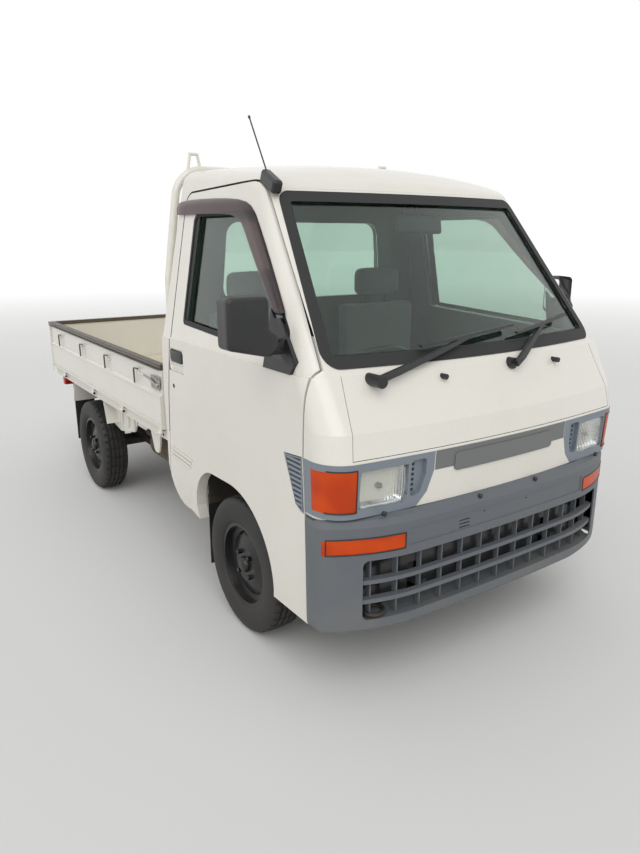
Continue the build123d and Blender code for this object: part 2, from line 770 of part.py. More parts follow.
with BuildPart() as bumper_band:
    add(bumper_loft(((500, 0), (640, 0)), -2))
    add(bumper_loft(((490, 0), (650, 0)), 2.5), mode=Mode.SUBTRACT)
with BuildPart() as bumper:
    add(bumper_loft(bumper_levels))
    add(bumper_loft(bumper_inner, bumper_wall), mode=Mode.SUBTRACT)
    add(
        side_prism(
            ((-1455 - bumper_gap, 240), (-1446 - bumper_gap, 640), (-1446 - bumper_gap, 700), (-1300, 700), (-1300, 240)),
            -800,
            800,
        ),
        mode=Mode.SUBTRACT,
    )
    add(front_prism(grille_front, -1800, -1500, corner=20), mode=Mode.SUBTRACT)
    add(common(bumper_band.part, front_prism(band_front, -1800, -1500)), mode=Mode.SUBTRACT)
    for slit in range(3):
        block((-218, -172), (-1700, -1600), (551 + 12 * slit, 556 + 12 * slit), Mode.SUBTRACT)
    for hole in (-plate_holes / 2, plate_holes / 2):
        rod((hole, -1700, plate_z), (hole, -1600, plate_z), plate_hole_r, Mode.SUBTRACT)
    for side in (-1, 1):
        lamp = front_prism(lamp_front, -1800, -1480)
        add(lamp if side < 0 else twin(lamp), mode=Mode.SUBTRACT)
with BuildPart() as fin_layer:
    add(bumper_loft(((280, 0), (600, 0)), 22))
    add(bumper_loft(((270, 0), (610, 0)), fin_depth), mode=Mode.SUBTRACT)
with BuildPart() as shelf_layer:
    add(bumper_loft(((280, 0), (600, 0)), 2))
    add(bumper_loft(((270, 0), (610, 0)), fin_depth), mode=Mode.SUBTRACT)
with BuildPart() as grille_layer:
    add(bumper_loft(((280, 0), (600, 0)), 8))
    add(bumper_loft(((270, 0), (610, 0)), grille_depth), mode=Mode.SUBTRACT)
with BuildPart() as grille_bars:
    for z in (437, 371):
        block((-582, 582), (-1700, -1540), (z - 7, z + 7))
    add(grille_layer.part, mode=Mode.INTERSECT)
with BuildPart() as grille_fins:
    for fin in range(-6, 7):
        block((fin * 90 - 2.5, fin * 90 + 2.5), (-1700, -1540), (308, 519))
    for z in (304, 519):
        block((-584, 584), (-1700, -1500), (z - 3, z + 3))
    add(fin_layer.part, mode=Mode.INTERSECT)
with BuildPart() as grille_shelves:
    for z in (304, 519):
        block((-584, 584), (-1700, -1500), (z - 3, z + 3))
    add(shelf_layer.part, mode=Mode.INTERSECT)
with BuildPart() as whole_bumper:
    add(bumper.part)
    add(grille_bars.part)
    add(grille_fins.part)
    add(grille_shelves.part)
save(whole_bumper, "bumper")

# Ladder frame: two rails that rise behind the cab, cross members, cab mounts, tow ring
rail_outline = (
    (-1525, rail_low_top - rail_depth),
    (-640, rail_low_top - rail_depth),
    (-380, rail_high_top - rail_depth),
    (1596, rail_high_top - rail_depth),
    (1596, rail_high_top),
    (-420, rail_high_top),
    (-680, rail_low_top),
    (-1525, rail_low_top),
)
with BuildPart() as ladder_frame:
    for side in (-1, 1):
        add(side_prism(rail_outline, side * rail_inner, side * rail_outer))
        for y in (-1500, -1330, -760):
            block((side * (rail_inner + 5), side * (rail_outer - 5)), (y, y + 50), (rail_low_top, floor_z - seat_gap))
        with BuildPart(mode=Mode.PRIVATE) as stay:
            block((side * (rail_inner + 10), side * (rail_outer - 10)), (-1640, -1525), (360, 382))
            add(bumper_loft(((200, 0), (700, 0)), fin_depth + seat_gap), mode=Mode.INTERSECT)
        add(stay.part)
    for y in (-1480, -1180):
        block((-rail_inner, rail_inner), (y, y + 50), (350, 420))
    for y in (-340, 60, 500, 1120, 1540):
        block((-rail_inner, rail_inner), (y, y + 50), (480, 550))
save(ladder_frame, "ladder_frame")

turn_right = common(
    skin(nose_sections, -1.4, bezel_depth), front_prism(turn_outline, -1700, turn_rear - seat_gap, grow=-seat_gap)
)
with BuildPart() as bumper_lamp:
    add(bumper_loft(((500, 0), (620, 0)), 0))
    add(bumper_loft(((490, 0), (630, 0)), lamp_depth), mode=Mode.SUBTRACT)
    add(front_prism(lamp_front, -1800, -1480, grow=-seat_gap), mode=Mode.INTERSECT)
with BuildPart() as orange_lamps:
    add(turn_right)
    add(twin(turn_right))
    add(bumper_lamp.part)
    add(twin(bumper_lamp.part))
save(orange_lamps, "orange_lamps")

# Engine and gearbox between the rails, as one plain block on its mounts
with BuildPart() as engine:
    block((-200, 200), (-1000, -430), (290, 600))
    block((-rail_inner + seat_gap, rail_inner - seat_gap), (-760, -710), (365, 400))
save(engine, "engine")

with BuildPart() as fuel_tank:
    block((rail_outer + seat_gap, 610), (-180, 380), (330, 540))
    fillet(fuel_tank.edges().filter_by(Axis.Y), 30)
save(fuel_tank, "fuel_tank")

with BuildPart() as exhaust:
    rod((-450, -20, 400), (-450, 330, 400), 80)
    rod((-450, 330, 400), (-450, 560, 400), 18)
    block((-450, -rail_outer - seat_gap), (150, 190), (475, 500))
save(exhaust, "exhaust")

# Rear axle: tube, differential case and propeller shaft
with BuildPart() as rear_axle:
    rod((-wheel_x + 60, rear_axle_y, axle_z), (wheel_x - 60, rear_axle_y, axle_z), 35)
    rod((-wheel_x - 50, rear_axle_y, axle_z), (wheel_x + 50, rear_axle_y, axle_z), axle_r)
    with Locations((0, rear_axle_y, axle_z)):
        Sphere(118)
    rod((0, rear_axle_y, axle_z), (0, -430 + 2.3, 360), 28)
save(rear_axle, "rear_axle")

# Leaf springs on the axle, with hangers from the rails
spring_x = 400
with BuildPart() as leaf_springs:
    for side in (-1, 1):
        block(
            (side * (spring_x - 25), side * (spring_x + 25)),
            (rear_axle_y - 540, rear_axle_y + 540),
            (axle_z + 35 + seat_gap, axle_z + 70),
        )
        for end in (-1, 1):
            block(
                (side * (rail_outer + seat_gap), side * (spring_x + 25)),
                (rear_axle_y + end * 500, rear_axle_y + end * 550),
                (axle_z + 60, 520),
            )
save(leaf_springs, "leaf_springs")

# Lower arms and steering rack of the front axle
ball_z = 185
ball_r = 8
ball_gap = 1.5
ball_x = strut_foot_x - (strut_foot_x - strut_top_x) * ball_z / strut_top_z
with BuildPart() as front_arms:
    for side in (-1, 1):
        add(
            plan_prism(
                [
                    (side * x, front_axle_y + y)
                    for x, y in ((240, -60), (240, 60), (ball_x + 10, 22), (ball_x + 10, -22))
                ],
                ball_z - 45,
                ball_z - 25,
            )
        )
        block((side * 240, side * 330), (front_axle_y - 40, front_axle_y + 40), (ball_z - 45, rail_low_top - rail_depth - seat_gap))
        rod((side * ball_x, front_axle_y, ball_z - 40), (side * ball_x, front_axle_y, ball_z - 8), 5)
        with Locations((side * ball_x, front_axle_y, ball_z - 8)):
            Sphere(ball_r)
    block((-330, 330), (front_axle_y - 130, front_axle_y - 80), (300, rail_low_top - rail_depth - seat_gap))
save(front_arms, "front_arms")


def knuckle(side):
    """A front knuckle with its strut and stub axle, on one side."""
    with BuildPart() as solid:
        top = (side * strut_top_x, front_axle_y, strut_top_z)
        lean = (strut_foot_x - strut_top_x) / strut_top_z
        hub = strut_foot_x - lean * axle_z
        low = (side * (strut_foot_x - lean * (ball_z - 18)), front_axle_y, ball_z - 18)
        rod(low, top, strut_r)
        rod((side * hub, front_axle_y, axle_z), (side * (wheel_x + 50), front_axle_y, axle_z), axle_r)
        rod((side * (hub - 10), front_axle_y, axle_z), (side * (hub + 34), front_axle_y, axle_z), 42)
        rod((side * ball_x, front_axle_y, ball_z - 45), (side * ball_x, front_axle_y, ball_z + 1), ball_r + ball_gap, Mode.SUBTRACT)
    return solid.part


save_pair(knuckle(-1), "knuckle")

# Mud flaps behind the wheels
with BuildPart() as mud_flaps:
    for side in (-1, 1):
        block((side * 440, side * 640), (-631.7, -626), (125, 440))
        block((side * 520, side * 644), (1345, 1351), (200, deck_z - 52 - seat_gap))
save(mud_flaps, "mud_flaps")

# Rear lamps under the bed
with BuildPart() as tail_lamps:
    for side in (-1, 1):
        block((side * 480, side * 640), (1568, 1620), (520, deck_z - 52 - seat_gap))
    fillet(tail_lamps.edges().filter_by(Axis.Z), 8)
save(tail_lamps, "tail_lamps")

# Rear wheel guards
with BuildPart() as rear_guards:
    for side in (-1, 1):
        add(
            side_prism(
                (
                    (rear_axle_y - 330, 470), (rear_axle_y - 290, 592), (rear_axle_y + 290, 592), (rear_axle_y + 330, 470),
                    (rear_axle_y + 334, 470), (rear_axle_y + 294, 596 - seat_gap), (rear_axle_y - 294, 596 - seat_gap),
                    (rear_axle_y - 334, 470),
                ),
                side * 500,
                side * 670,
            )
        )
save(rear_guards, "rear_guards")

# Tyres and wheels, turned about the Y axis and then set on their axles
tyre_section = (
    (rim_radius + seat_gap, 49.6),
    (164.3, 53.9),
    (164.3, 57.3),
    (176, 66),
    (205, tyre_width / 2),
    (240, 70),
    (258, 58),
    (tyre_radius, 40),
)
wheel_section = (
    (145, -57), (164, -57), (164, -54.3), (rim_radius, -50), (rim_radius, 50), (164, 54.3), (164, 57), (150, 57),
    (145, 30), (125, 25), (70, 45), (axle_r + pin_gap, 45), (axle_r + pin_gap, 35), (70, 35), (120, 15), (145, 10),
)
with BuildPart() as tyre_blank:
    with BuildSketch(Plane.XY):
        with BuildLine():
            Polyline(*tyre_section, *[(r, -w) for r, w in reversed(tyre_section)], close=True)
        make_face()
    revolve(axis=Axis.Y)
with BuildPart() as wheel_blank:
    with BuildSketch(Plane.XY):
        with BuildLine():
            Polyline(*wheel_section, close=True)
        make_face()
    revolve(axis=Axis.Y)
# Studs of the right-hand wheels; those of the others are left to the looks
with BuildPart() as wheel_studs:
    with BuildSketch(Plane.XZ.offset(-44)):
        with PolarLocations(stud_circle_r, stud_count, start_angle=45):
            Circle(stud_r)
    extrude(amount=-17)

# Spare wheel, lying under the bed between the rails
spare_place = Location((0, 1330, rail_high_top - 80 - seat_gap - tyre_width / 2), (90, 0, 0))
with BuildPart() as spare_tyre:
    add(tyre_blank.part.moved(spare_place))
save(spare_tyre, "spare_tyre")
with BuildPart() as spare_wheel:
    add(wheel_blank.part.moved(spare_place))
save(spare_wheel, "spare_wheel")

for name, side, y in (
    ("front_right", -1, front_axle_y),
    ("front_left", 1, front_axle_y),
    ("rear_right", -1, rear_axle_y),
    ("rear_left", 1, rear_axle_y),
):
    place = Location((side * wheel_x, y, axle_z), (0, 0, -90 * side))
    with BuildPart() as tyre:
        add(tyre_blank.part.moved(place))
    save(tyre, f"tyre_{name}")
    with BuildPart() as wheel:
        add(wheel_blank.part.moved(place))
        if side < 0:
            add(wheel_studs.part.moved(place))
    save(wheel, f"wheel_{name}")
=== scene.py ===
import bpy
import bmesh
import json
from math import atan2, cos, pi, radians, sin
from mathutils import Matrix, Vector


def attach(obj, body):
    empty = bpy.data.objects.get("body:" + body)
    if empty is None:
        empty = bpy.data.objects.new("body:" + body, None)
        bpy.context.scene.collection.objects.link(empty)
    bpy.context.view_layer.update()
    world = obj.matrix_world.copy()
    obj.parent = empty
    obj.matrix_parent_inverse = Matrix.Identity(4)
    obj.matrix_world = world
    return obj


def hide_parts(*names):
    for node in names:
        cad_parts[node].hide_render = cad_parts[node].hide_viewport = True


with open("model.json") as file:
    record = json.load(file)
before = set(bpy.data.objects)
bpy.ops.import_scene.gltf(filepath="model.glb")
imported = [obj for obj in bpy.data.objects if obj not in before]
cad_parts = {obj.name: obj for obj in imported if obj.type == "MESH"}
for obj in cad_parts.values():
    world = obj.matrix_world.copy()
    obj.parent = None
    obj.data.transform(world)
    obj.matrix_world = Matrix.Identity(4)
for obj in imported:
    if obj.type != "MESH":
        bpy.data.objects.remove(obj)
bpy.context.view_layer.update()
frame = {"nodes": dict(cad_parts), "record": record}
node = frame["nodes"]
scene = bpy.context.scene
scene.view_settings.view_transform = "Standard"

# Camera, fitted to the photograph
eye = bpy.data.objects.new("eye", bpy.data.cameras.new("eye"))
eye.location = (-1.7567, -3.0947, 1.4678)
eye.rotation_euler = Vector((0.5423, 0.7968, -0.2664)).to_track_quat("-Z", "Y").to_euler()
eye.data.lens = 28.88
eye.data.sensor_width = 36
eye.data.clip_start = 0.05
scene.collection.objects.link(eye)
scene.camera = eye


def tone(red, green, blue):
    """A colour given as 0 to 255 on the screen, as linear light."""
    light = [c / 12.92 if c <= 0.04045 else ((c + 0.055) / 1.055) ** 2.4 for c in (red / 255, green / 255, blue / 255)]
    return (*light, 1.0)


# Shared effects
def effect(name, inputs, outputs):
    """A node group with named sockets, and its two end nodes."""
    tree = bpy.data.node_groups.new(name, "ShaderNodeTree")
    for label, kind, value in inputs:
        socket = tree.interface.new_socket(label, in_out="INPUT", socket_type=kind)
        socket.default_value = value
    for label, kind in outputs:
        tree.interface.new_socket(label, in_out="OUTPUT", socket_type=kind)
    return tree, tree.nodes.new("NodeGroupInput"), tree.nodes.new("NodeGroupOutput")


def wire(tree, kind, settings=(), **links):
    """A node in a tree, with its settings, and values or links on its named inputs."""
    made = tree.nodes.new(kind)
    for key, value in dict(settings).items():
        setattr(made, key, value)
    for key, value in links.items():
        name = key.replace("_", " ")
        socket = made.inputs[int(key[1:])] if key[0] == "i" and key[1:].isdigit() else made.inputs[name]
        if isinstance(value, bpy.types.NodeSocket):
            tree.links.new(value, socket)
        else:
            socket.default_value = value
    return made


def maths(tree, operation, first, second=0.0, clamp=False):
    """The result of one sum on two values or sockets."""
    return wire(tree, "ShaderNodeMath", {"operation": operation, "use_clamp": clamp}, i0=first, i1=second).outputs[0]


def remap(tree, value, low, high, to_low=0.0, to_high=1.0):
    """A value taken softly from one range to another."""
    made = wire(tree, "ShaderNodeMapRange", {"interpolation_type": "SMOOTHSTEP"}, Value=value)
    for key, number in (("From Min", low), ("From Max", high), ("To Min", to_low), ("To Max", to_high)):
        made.inputs[key].default_value = number
    return made.outputs[0]


def blend_colour(tree, amount, first, second):
    """The first colour where the amount is 0, the second where it is 1."""
    made = tree.nodes.new("ShaderNodeMix")
    made.data_type = "RGBA"
    for index, value in ((0, amount), (6, first), (7, second)):
        if isinstance(value, bpy.types.NodeSocket):
            tree.links.new(value, made.inputs[index])
        else:
            made.inputs[index].default_value = value
    return made.outputs[2]


def road_dirt():
    """Soft patches and speckles of dust, thicker below a given height."""
    tree, start, end = effect(
        "road_dirt",
        (
            ("Clean", "NodeSocketColor", (0.8, 0.8, 0.8, 1)),
            ("Dirt", "NodeSocketColor", (0.3, 0.25, 0.2, 1)),
            ("Splash height", "NodeSocketFloat", 0.5),
            ("Amount", "NodeSocketFloat", 0.4),
            ("Patch size", "NodeSocketFloat", 3.0),
        ),
        (("Colour", "NodeSocketColor"), ("Dirtiness", "NodeSocketFloat"), ("Relief", "NodeSocketFloat")),
    )
    place = tree.nodes.new("ShaderNodeTexCoord").outputs["Object"]
    patch_size = start.outputs["Patch size"]
    patches = wire(tree, "ShaderNodeTexNoise", {}, Vector=place, Scale=patch_size, Detail=8.0, Roughness=0.62)
    specks = wire(tree, "ShaderNodeTexNoise", {}, Vector=place, Scale=160.0, Detail=4.0, Roughness=0.7)
    height = wire(tree, "ShaderNodeSeparateXYZ", {}, Vector=place).outputs["Z"]
    low = wire(tree, "ShaderNodeMapRange", {}, Value=height, From_Min=start.outputs["Splash height"])
    low.inputs["From Max"].default_value = 0.1
    streak = remap(tree, patches.outputs[0], 0.42, 0.68)
    fine = remap(tree, specks.outputs[0], 0.5, 0.72)
    splash = maths(tree, "MULTIPLY", low.outputs[0], maths(tree, "ADD", streak, 0.35), True)
    spread = maths(tree, "ADD", maths(tree, "MULTIPLY", streak, 0.25), maths(tree, "MULTIPLY", fine, 0.22))
    dust = maths(tree, "MULTIPLY", maths(tree, "ADD", splash, spread), start.outputs["Amount"], True)
    tree.links.new(blend_colour(tree, dust, start.outputs["Clean"], start.outputs["Dirt"]), end.inputs["Colour"])
    tree.links.new(dust, end.inputs["Dirtiness"])
    tree.links.new(specks.outputs[0], end.inputs["Relief"])
    return tree


def moulded_grain():
    """The pebbled grain of moulded plastic and rubber, as a normal."""
    tree, start, end = effect(
        "moulded_grain",
        (("Size", "NodeSocketFloat", 900.0), ("Depth", "NodeSocketFloat", 0.3)),
        (("Normal", "NodeSocketVector"), ("Pits", "NodeSocketFloat")),
    )
    place = tree.nodes.new("ShaderNodeTexCoord").outputs["Object"]
    cells = wire(tree, "ShaderNodeTexVoronoi", {"feature": "SMOOTH_F1"}, Vector=place, Scale=start.outputs["Size"])
    pits, depth = cells.outputs["Distance"], start.outputs["Depth"]
    bump = wire(tree, "ShaderNodeBump", {}, Height=pits, Strength=depth, Distance=0.0006)
    tree.links.new(bump.outputs[0], end.inputs["Normal"])
    tree.links.new(pits, end.inputs["Pits"])
    return tree


def woven_cloth():
    """A plain weave of threads across and along."""
    tree, start, end = effect(
        "woven_cloth",
        (
            ("Thread", "NodeSocketColor", (0.2, 0.2, 0.2, 1)),
            ("Shadow", "NodeSocketColor", (0.08, 0.08, 0.08, 1)),
            ("Count", "NodeSocketFloat", 900.0),
        ),
        (("Colour", "NodeSocketColor"), ("Height", "NodeSocketFloat")),
    )
    place = tree.nodes.new("ShaderNodeTexCoord").outputs["Object"]
    count = start.outputs["Count"]
    across = wire(tree, "ShaderNodeTexWave", {"bands_direction": "X"}, Vector=place, Scale=count, Distortion=0.4)
    along = wire(tree, "ShaderNodeTexWave", {"bands_direction": "Z"}, Vector=place, Scale=count, Distortion=0.4)
    weave = maths(tree, "MAXIMUM", across.outputs["Fac"], along.outputs["Fac"])
    tree.links.new(blend_colour(tree, weave, start.outputs["Shadow"], start.outputs["Thread"]), end.inputs["Colour"])
    tree.links.new(weave, end.inputs["Height"])
    return tree


dirt_effect, grain_effect, weave_effect = road_dirt(), moulded_grain(), woven_cloth()


def finish_of(name, rough=0.5, metal=0.0, **sockets):
    """A material with its shader, whose plain values are set on the shader's own sockets."""
    made = bpy.data.materials.new(name)
    made.use_nodes = True
    shader = made.node_tree.nodes["Principled BSDF"]
    shader.inputs["Roughness"].default_value = rough
    shader.inputs["Metallic"].default_value = metal
    for key, value in sockets.items():
        shader.inputs[key.replace("_", " ")].default_value = value
    return made, made.node_tree, shader


def dusty(name, clean, dirt, amount, splash=0.5, rough=(0.4, 0.8), patch=3.0, grain=None, metal=0.0, **sockets):
    """A finish with dust that dulls it, and moulded grain where it has any.

    splash is the height in metres that road dirt reaches up to, rough the roughness when clean and when dusty,
    patch the scale of the dust's patches, and grain the scale and the depth of the moulded pebbles.
    """
    made, tree, shader = finish_of(name, rough[0], metal, **sockets)
    group = wire(tree, "ShaderNodeGroup", {"node_tree": dirt_effect}, Clean=clean, Dirt=dirt, Amount=amount)
    group.inputs["Splash height"].default_value = splash
    group.inputs["Patch size"].default_value = patch
    tree.links.new(group.outputs["Colour"], shader.inputs["Base Color"])
    tree.links.new(remap(tree, group.outputs["Dirtiness"], 0.0, 0.8, *rough), shader.inputs["Roughness"])
    if grain:
        pebble = wire(tree, "ShaderNodeGroup", {"node_tree": grain_effect}, Size=grain[0], Depth=grain[1])
        tree.links.new(pebble.outputs["Normal"], shader.inputs["Normal"])
    else:
        bump = wire(tree, "ShaderNodeBump", {}, Height=group.outputs["Relief"], Strength=0.05, Distance=0.0004)
        tree.links.new(bump.outputs[0], shader.inputs["Normal"])
    return made


coat = {"Coat_Weight": 0.35, "Coat_Roughness": 0.1}
white_paint = dusty("white_paint", tone(224, 221, 212), tone(150, 140, 120), 0.26, 0.5, (0.26, 0.6), 2.2, **coat)
inner_paint = dusty("inner_paint", tone(214, 205, 178), tone(120, 92, 64), 0.85, 0.3, (0.5, 0.85), 5.0)
chassis_paint = dusty("chassis_paint", tone(38, 37, 36), tone(84, 72, 58), 0.5, 0.9, (0.55, 0.9), 7.0)
wheel_paint = dusty("wheel_paint", tone(17, 17, 18), tone(60, 54, 48), 0.18, 0.40, (0.3, 0.7), 14.0)
cast_metal = dusty("cast_metal", tone(112, 108, 100), tone(84, 68, 50), 0.8, 0.9, (0.5, 0.85), 9.0, metal=0.6)
bumper_plastic = dusty(
    "bumper_plastic", tone(96, 101, 106), tone(134, 128, 116), 0.34, 0.42, (0.55, 0.85), 3.5, (1100.0, 0.35)
)
bezel_plastic = dusty(
    "bezel_plastic", tone(121, 130, 139), tone(148, 144, 134), 0.22, 0.5, (0.42, 0.7), 4.0, (1400.0, 0.2)
)
black_plastic = dusty("black_plastic", tone(30, 31, 33), tone(84, 80, 74), 0.26, 0.4, (0.38, 0.7), 5.0, (1200.0, 0.25))
rail_paint = dusty("rail_paint", tone(88, 80, 71), tone(132, 118, 98), 0.7, 0.5, (0.45, 0.8), 11.0)
seal_rubber = dusty("seal_rubber", tone(20, 22, 22), tone(70, 68, 64), 0.12, 0.4, (0.6, 0.85), 6.0, (1500.0, 0.15))
tyre_rubber = dusty("tyre_rubber", tone(32, 32, 32), tone(76, 70, 62), 0.3, 0.45, (0.62, 0.9), 9.0, (700.0, 0.3))
dash_plastic = dusty("dash_plastic", tone(66, 70, 72), tone(112, 108, 100), 0.22, 0.4, (0.55, 0.8), 6.0, (900.0, 0.4))
flap_rubber = dusty("flap_rubber", tone(26, 26, 26), tone(70, 62, 52), 0.5, 0.4, (0.6, 0.9), 8.0, (800.0, 0.3))
bare_zinc = dusty("bare_zinc", tone(168, 166, 160), tone(110, 88, 66), 0.6, 0.5, (0.35, 0.7), 20.0, metal=0.8)


def masked(name, base, other, edges, offset=0.004):
    """A copy of a finish with a second colour inside a box of Object coordinates."""
    made = base.copy()
    made.name = name
    tree = made.node_tree
    shader = tree.nodes["Principled BSDF"]
    place = tree.nodes.new("ShaderNodeTexCoord").outputs["Object"]
    axes = wire(tree, "ShaderNodeSeparateXYZ", {}, Vector=place)
    inside = 1.0
    for axis, low, high in edges:
        for limit, way in ((low, 1), (high, -1)):
            if limit is not None:
                step = remap(tree, axes.outputs[axis], limit - way * offset, limit + way * offset)
                inside = maths(tree, "MULTIPLY", inside, step)
    clean = shader.inputs["Base Color"].links[0].from_socket
    tree.links.new(blend_colour(tree, inside, clean, other), shader.inputs["Base Color"])
    return made


# Painted shade inside the cab: the middle its faces turn towards, the height above which it starts, and how far a face
# must turn in
cab_middle = (0.0, -0.95, 1.15)
inside_shade_foot = 0.66
inside_shade_angle = 0.12


def shaded_inside(name, base, inside_shade):
    """A copy of a cab finish with painted shade, a darker colour, on the faces that look towards the middle of the
    cab.

    It goes by the mesh's own places and normals, so an opened door keeps its painted shade.
    """
    made = base.copy()
    made.name = name
    tree = made.node_tree
    shader = tree.nodes["Principled BSDF"]
    own = tree.nodes.new("ShaderNodeTexCoord")
    place, face = own.outputs["Object"], own.outputs["Normal"]
    inward = wire(tree, "ShaderNodeVectorMath", {"operation": "SUBTRACT"}, i0=cab_middle, i1=place).outputs[0]
    facing = wire(tree, "ShaderNodeVectorMath", {"operation": "DOT_PRODUCT"}, i0=face, i1=inward).outputs["Value"]
    height = wire(tree, "ShaderNodeSeparateXYZ", {}, Vector=place).outputs["Z"]
    turned_in = maths(tree, "GREATER_THAN", facing, inside_shade_angle)
    above = maths(tree, "GREATER_THAN", height, inside_shade_foot)
    inside = maths(tree, "MULTIPLY", turned_in, above)
    tree.links.new(remap(tree, inside, 0.0, 1.0, 0.35, 0.0), shader.inputs["Coat Weight"])
    clean = shader.inputs["Base Color"].links[0].from_socket
    tree.links.new(blend_colour(tree, inside, clean, inside_shade), shader.inputs["Base Color"])
    return made


# Painted shade inside the cab: dark grey-green on the doors, the back wall and the front, a lighter grey under the
# roof
door_paint = shaded_inside("door_paint", white_paint, tone(92, 96, 93))
roof_paint = shaded_inside("roof_paint", white_paint, tone(128, 130, 122))

# The lower front of the cab behind the bumper is painted near-black, partly its black underbody and partly painted
# shade behind the grille, and the strip between the lamps is a plainer grey
front_paint_grille_shade = masked("front_paint_grille_shade", door_paint, tone(20, 20, 21), (("Y", None, -1.40), ("Z", None, 0.650)))
strip_edges = (("X", -0.318, 0.318), ("Z", 0.74, None))
strip_plastic = masked("strip_plastic", bezel_plastic, tone(110, 112, 111), strip_edges, 0.0005)
brace_paint = masked("brace_paint", chassis_paint, tone(60, 62, 63), (("Y", None, -1.3),))

# Gates have a worn brown-grey rail along the top, and the deck's side sills are white below its floor
gate_paint = masked("gate_paint", white_paint, tone(84, 76, 68), (("Z", 0.9125, None),), 0.0008)
deck_paint = masked("deck_paint", inner_paint, tone(214, 211, 202), (("Z", None, 0.645),), 0.001)

seat_cloth, tree, shader = finish_of("seat_cloth", 0.92, Sheen_Weight=0.3)
threads = {"Thread": tone(132, 134, 136), "Shadow": tone(72, 74, 78), "Count": 420.0}
weave = wire(tree, "ShaderNodeGroup", {"node_tree": weave_effect}, **threads)
tree.links.new(weave.outputs["Colour"], shader.inputs["Base Color"])
bump = wire(tree, "ShaderNodeBump", {}, Height=weave.outputs["Height"], Strength=0.4, Distance=0.0006)
tree.links.new(bump.outputs[0], shader.inputs["Normal"])


def pane_finish(name, colour, rough=0.02, see_through=0.9, ribs=0.0, rib_depth=0.5):
    """Clear or tinted glass that lets light through to what lies behind it."""
    made, tree, shader = finish_of(name, rough, Base_Color=colour, Transmission_Weight=1.0, IOR=1.45)
    clear = wire(tree, "ShaderNodeBsdfTransparent", {}, Color=[1 - (1 - c) * 0.6 for c in colour[:3]] + [1])
    shadow = tree.nodes.new("ShaderNodeLightPath").outputs["Is Shadow Ray"]
    lit = maths(tree, "MULTIPLY", shadow, see_through)
    mix = wire(tree, "ShaderNodeMixShader", {}, i0=lit, i1=shader.outputs[0], i2=clear.outputs[0])
    tree.links.new(mix.outputs[0], tree.nodes["Material Output"].inputs["Surface"])
    if ribs:
        place = tree.nodes.new("ShaderNodeTexCoord").outputs["Object"]
        wave = wire(tree, "ShaderNodeTexWave", {"bands_direction": "X"}, Vector=place, Scale=ribs)
        bump = wire(tree, "ShaderNodeBump", {}, Height=wave.outputs["Fac"], Strength=rib_depth, Distance=0.002)
        tree.links.new(bump.outputs[0], shader.inputs["Normal"])
    return made


clear_glass = pane_finish("clear_glass", tone(200, 219, 209), 0.0)
visor_tint = pane_finish("visor_tint", tone(120, 88, 92), 0.12, 0.5)
lamp_glass = pane_finish("lamp_glass", tone(244, 246, 244), 0.2, 0.9, 30.0, 0.35)


def lens_finish(name, bright, deep, ribs):
    """Coloured lens plastic: ribs inside it, cloudy depth and a clear gloss on top."""
    made, tree, shader = finish_of(name, 0.35, Coat_Weight=0.2, Coat_Roughness=0.06, Specular_IOR_Level=0.2)
    place = tree.nodes.new("ShaderNodeTexCoord").outputs["Object"]
    rib = wire(tree, "ShaderNodeTexWave", {"bands_direction": "Z"}, Vector=place, Scale=ribs)
    cloud = wire(tree, "ShaderNodeTexNoise", {}, Vector=place, Scale=9.0, Detail=1.0)
    murk = remap(tree, cloud.outputs[0], 0.35, 0.65)
    depth = maths(tree, "MULTIPLY", murk, maths(tree, "ADD", rib.outputs["Fac"], 0.4), True)
    tree.links.new(blend_colour(tree, depth, bright, deep), shader.inputs["Base Color"])
    bump = wire(tree, "ShaderNodeBump", {}, Height=rib.outputs["Fac"], Strength=0.25, Distance=0.001)
    tree.links.new(bump.outputs[0], shader.inputs["Normal"])
    return made


orange_lens = lens_finish("orange_lens", tone(204, 70, 0), tone(176, 52, 0), 160.0)
red_lens = lens_finish("red_lens", tone(186, 30, 22), tone(130, 14, 12), 60.0)

mirror_face, tree, shader = finish_of("mirror_face", 0.04, 1.0)
shader.inputs["Base Color"].default_value = (0.82, 0.84, 0.85, 1)
reflector, tree, shader = finish_of("reflector", 0.12, 1.0)
place = tree.nodes.new("ShaderNodeTexCoord").outputs["Object"]
haze = wire(tree, "ShaderNodeTexNoise", {}, Vector=place, Scale=30.0, Detail=3.0)
silver = blend_colour(tree, haze.outputs[0], (0.86, 0.87, 0.88, 1), (0.7, 0.71, 0.72, 1))
tree.links.new(silver, shader.inputs["Base Color"])

# A finish for each material slot of the record, and for single nodes that have one of their own
finishes = {
    "white_paint": white_paint,
    "inner_paint": inner_paint,
    "chassis_paint": chassis_paint,
    "steel_dark": wheel_paint,
    "cast": cast_metal,
    "bumper_plastic": bumper_plastic,
    "trim_plastic": bezel_plastic,
    "black_plastic": black_plastic,
    "orange_lens": orange_lens,
    "red_lens": red_lens,
    "visor_tint": visor_tint,
    "clear_glass": clear_glass,
    "lamp_glass": lamp_glass,
    "seal_rubber": seal_rubber,
    "tyre_rubber": tyre_rubber,
    "seat_cloth": seat_cloth,
    "dash_plastic": dash_plastic,
}
special = {
    "cab_front": front_paint_grille_shade,
    "cab_roof": roof_paint,
    "cab_back": door_paint,
    "door_panel_right": door_paint,
    "door_panel_left": door_paint,
    "nose_trim": strip_plastic,
    "ladder_frame": brace_paint,
    "bed_deck": deck_paint,
    "side_gate_right": gate_paint,
    "side_gate_left": gate_paint,
    "tailgate": gate_paint,
    "rear_guards": white_paint,
    "mud_flaps": flap_rubber,
}
for part in frame["record"]["subparts"]:
    mesh = node[part["node"]].data
    mesh.materials.clear()
    mesh.materials.append(special.get(part["node"]) or finishes[part["material_slot"]])


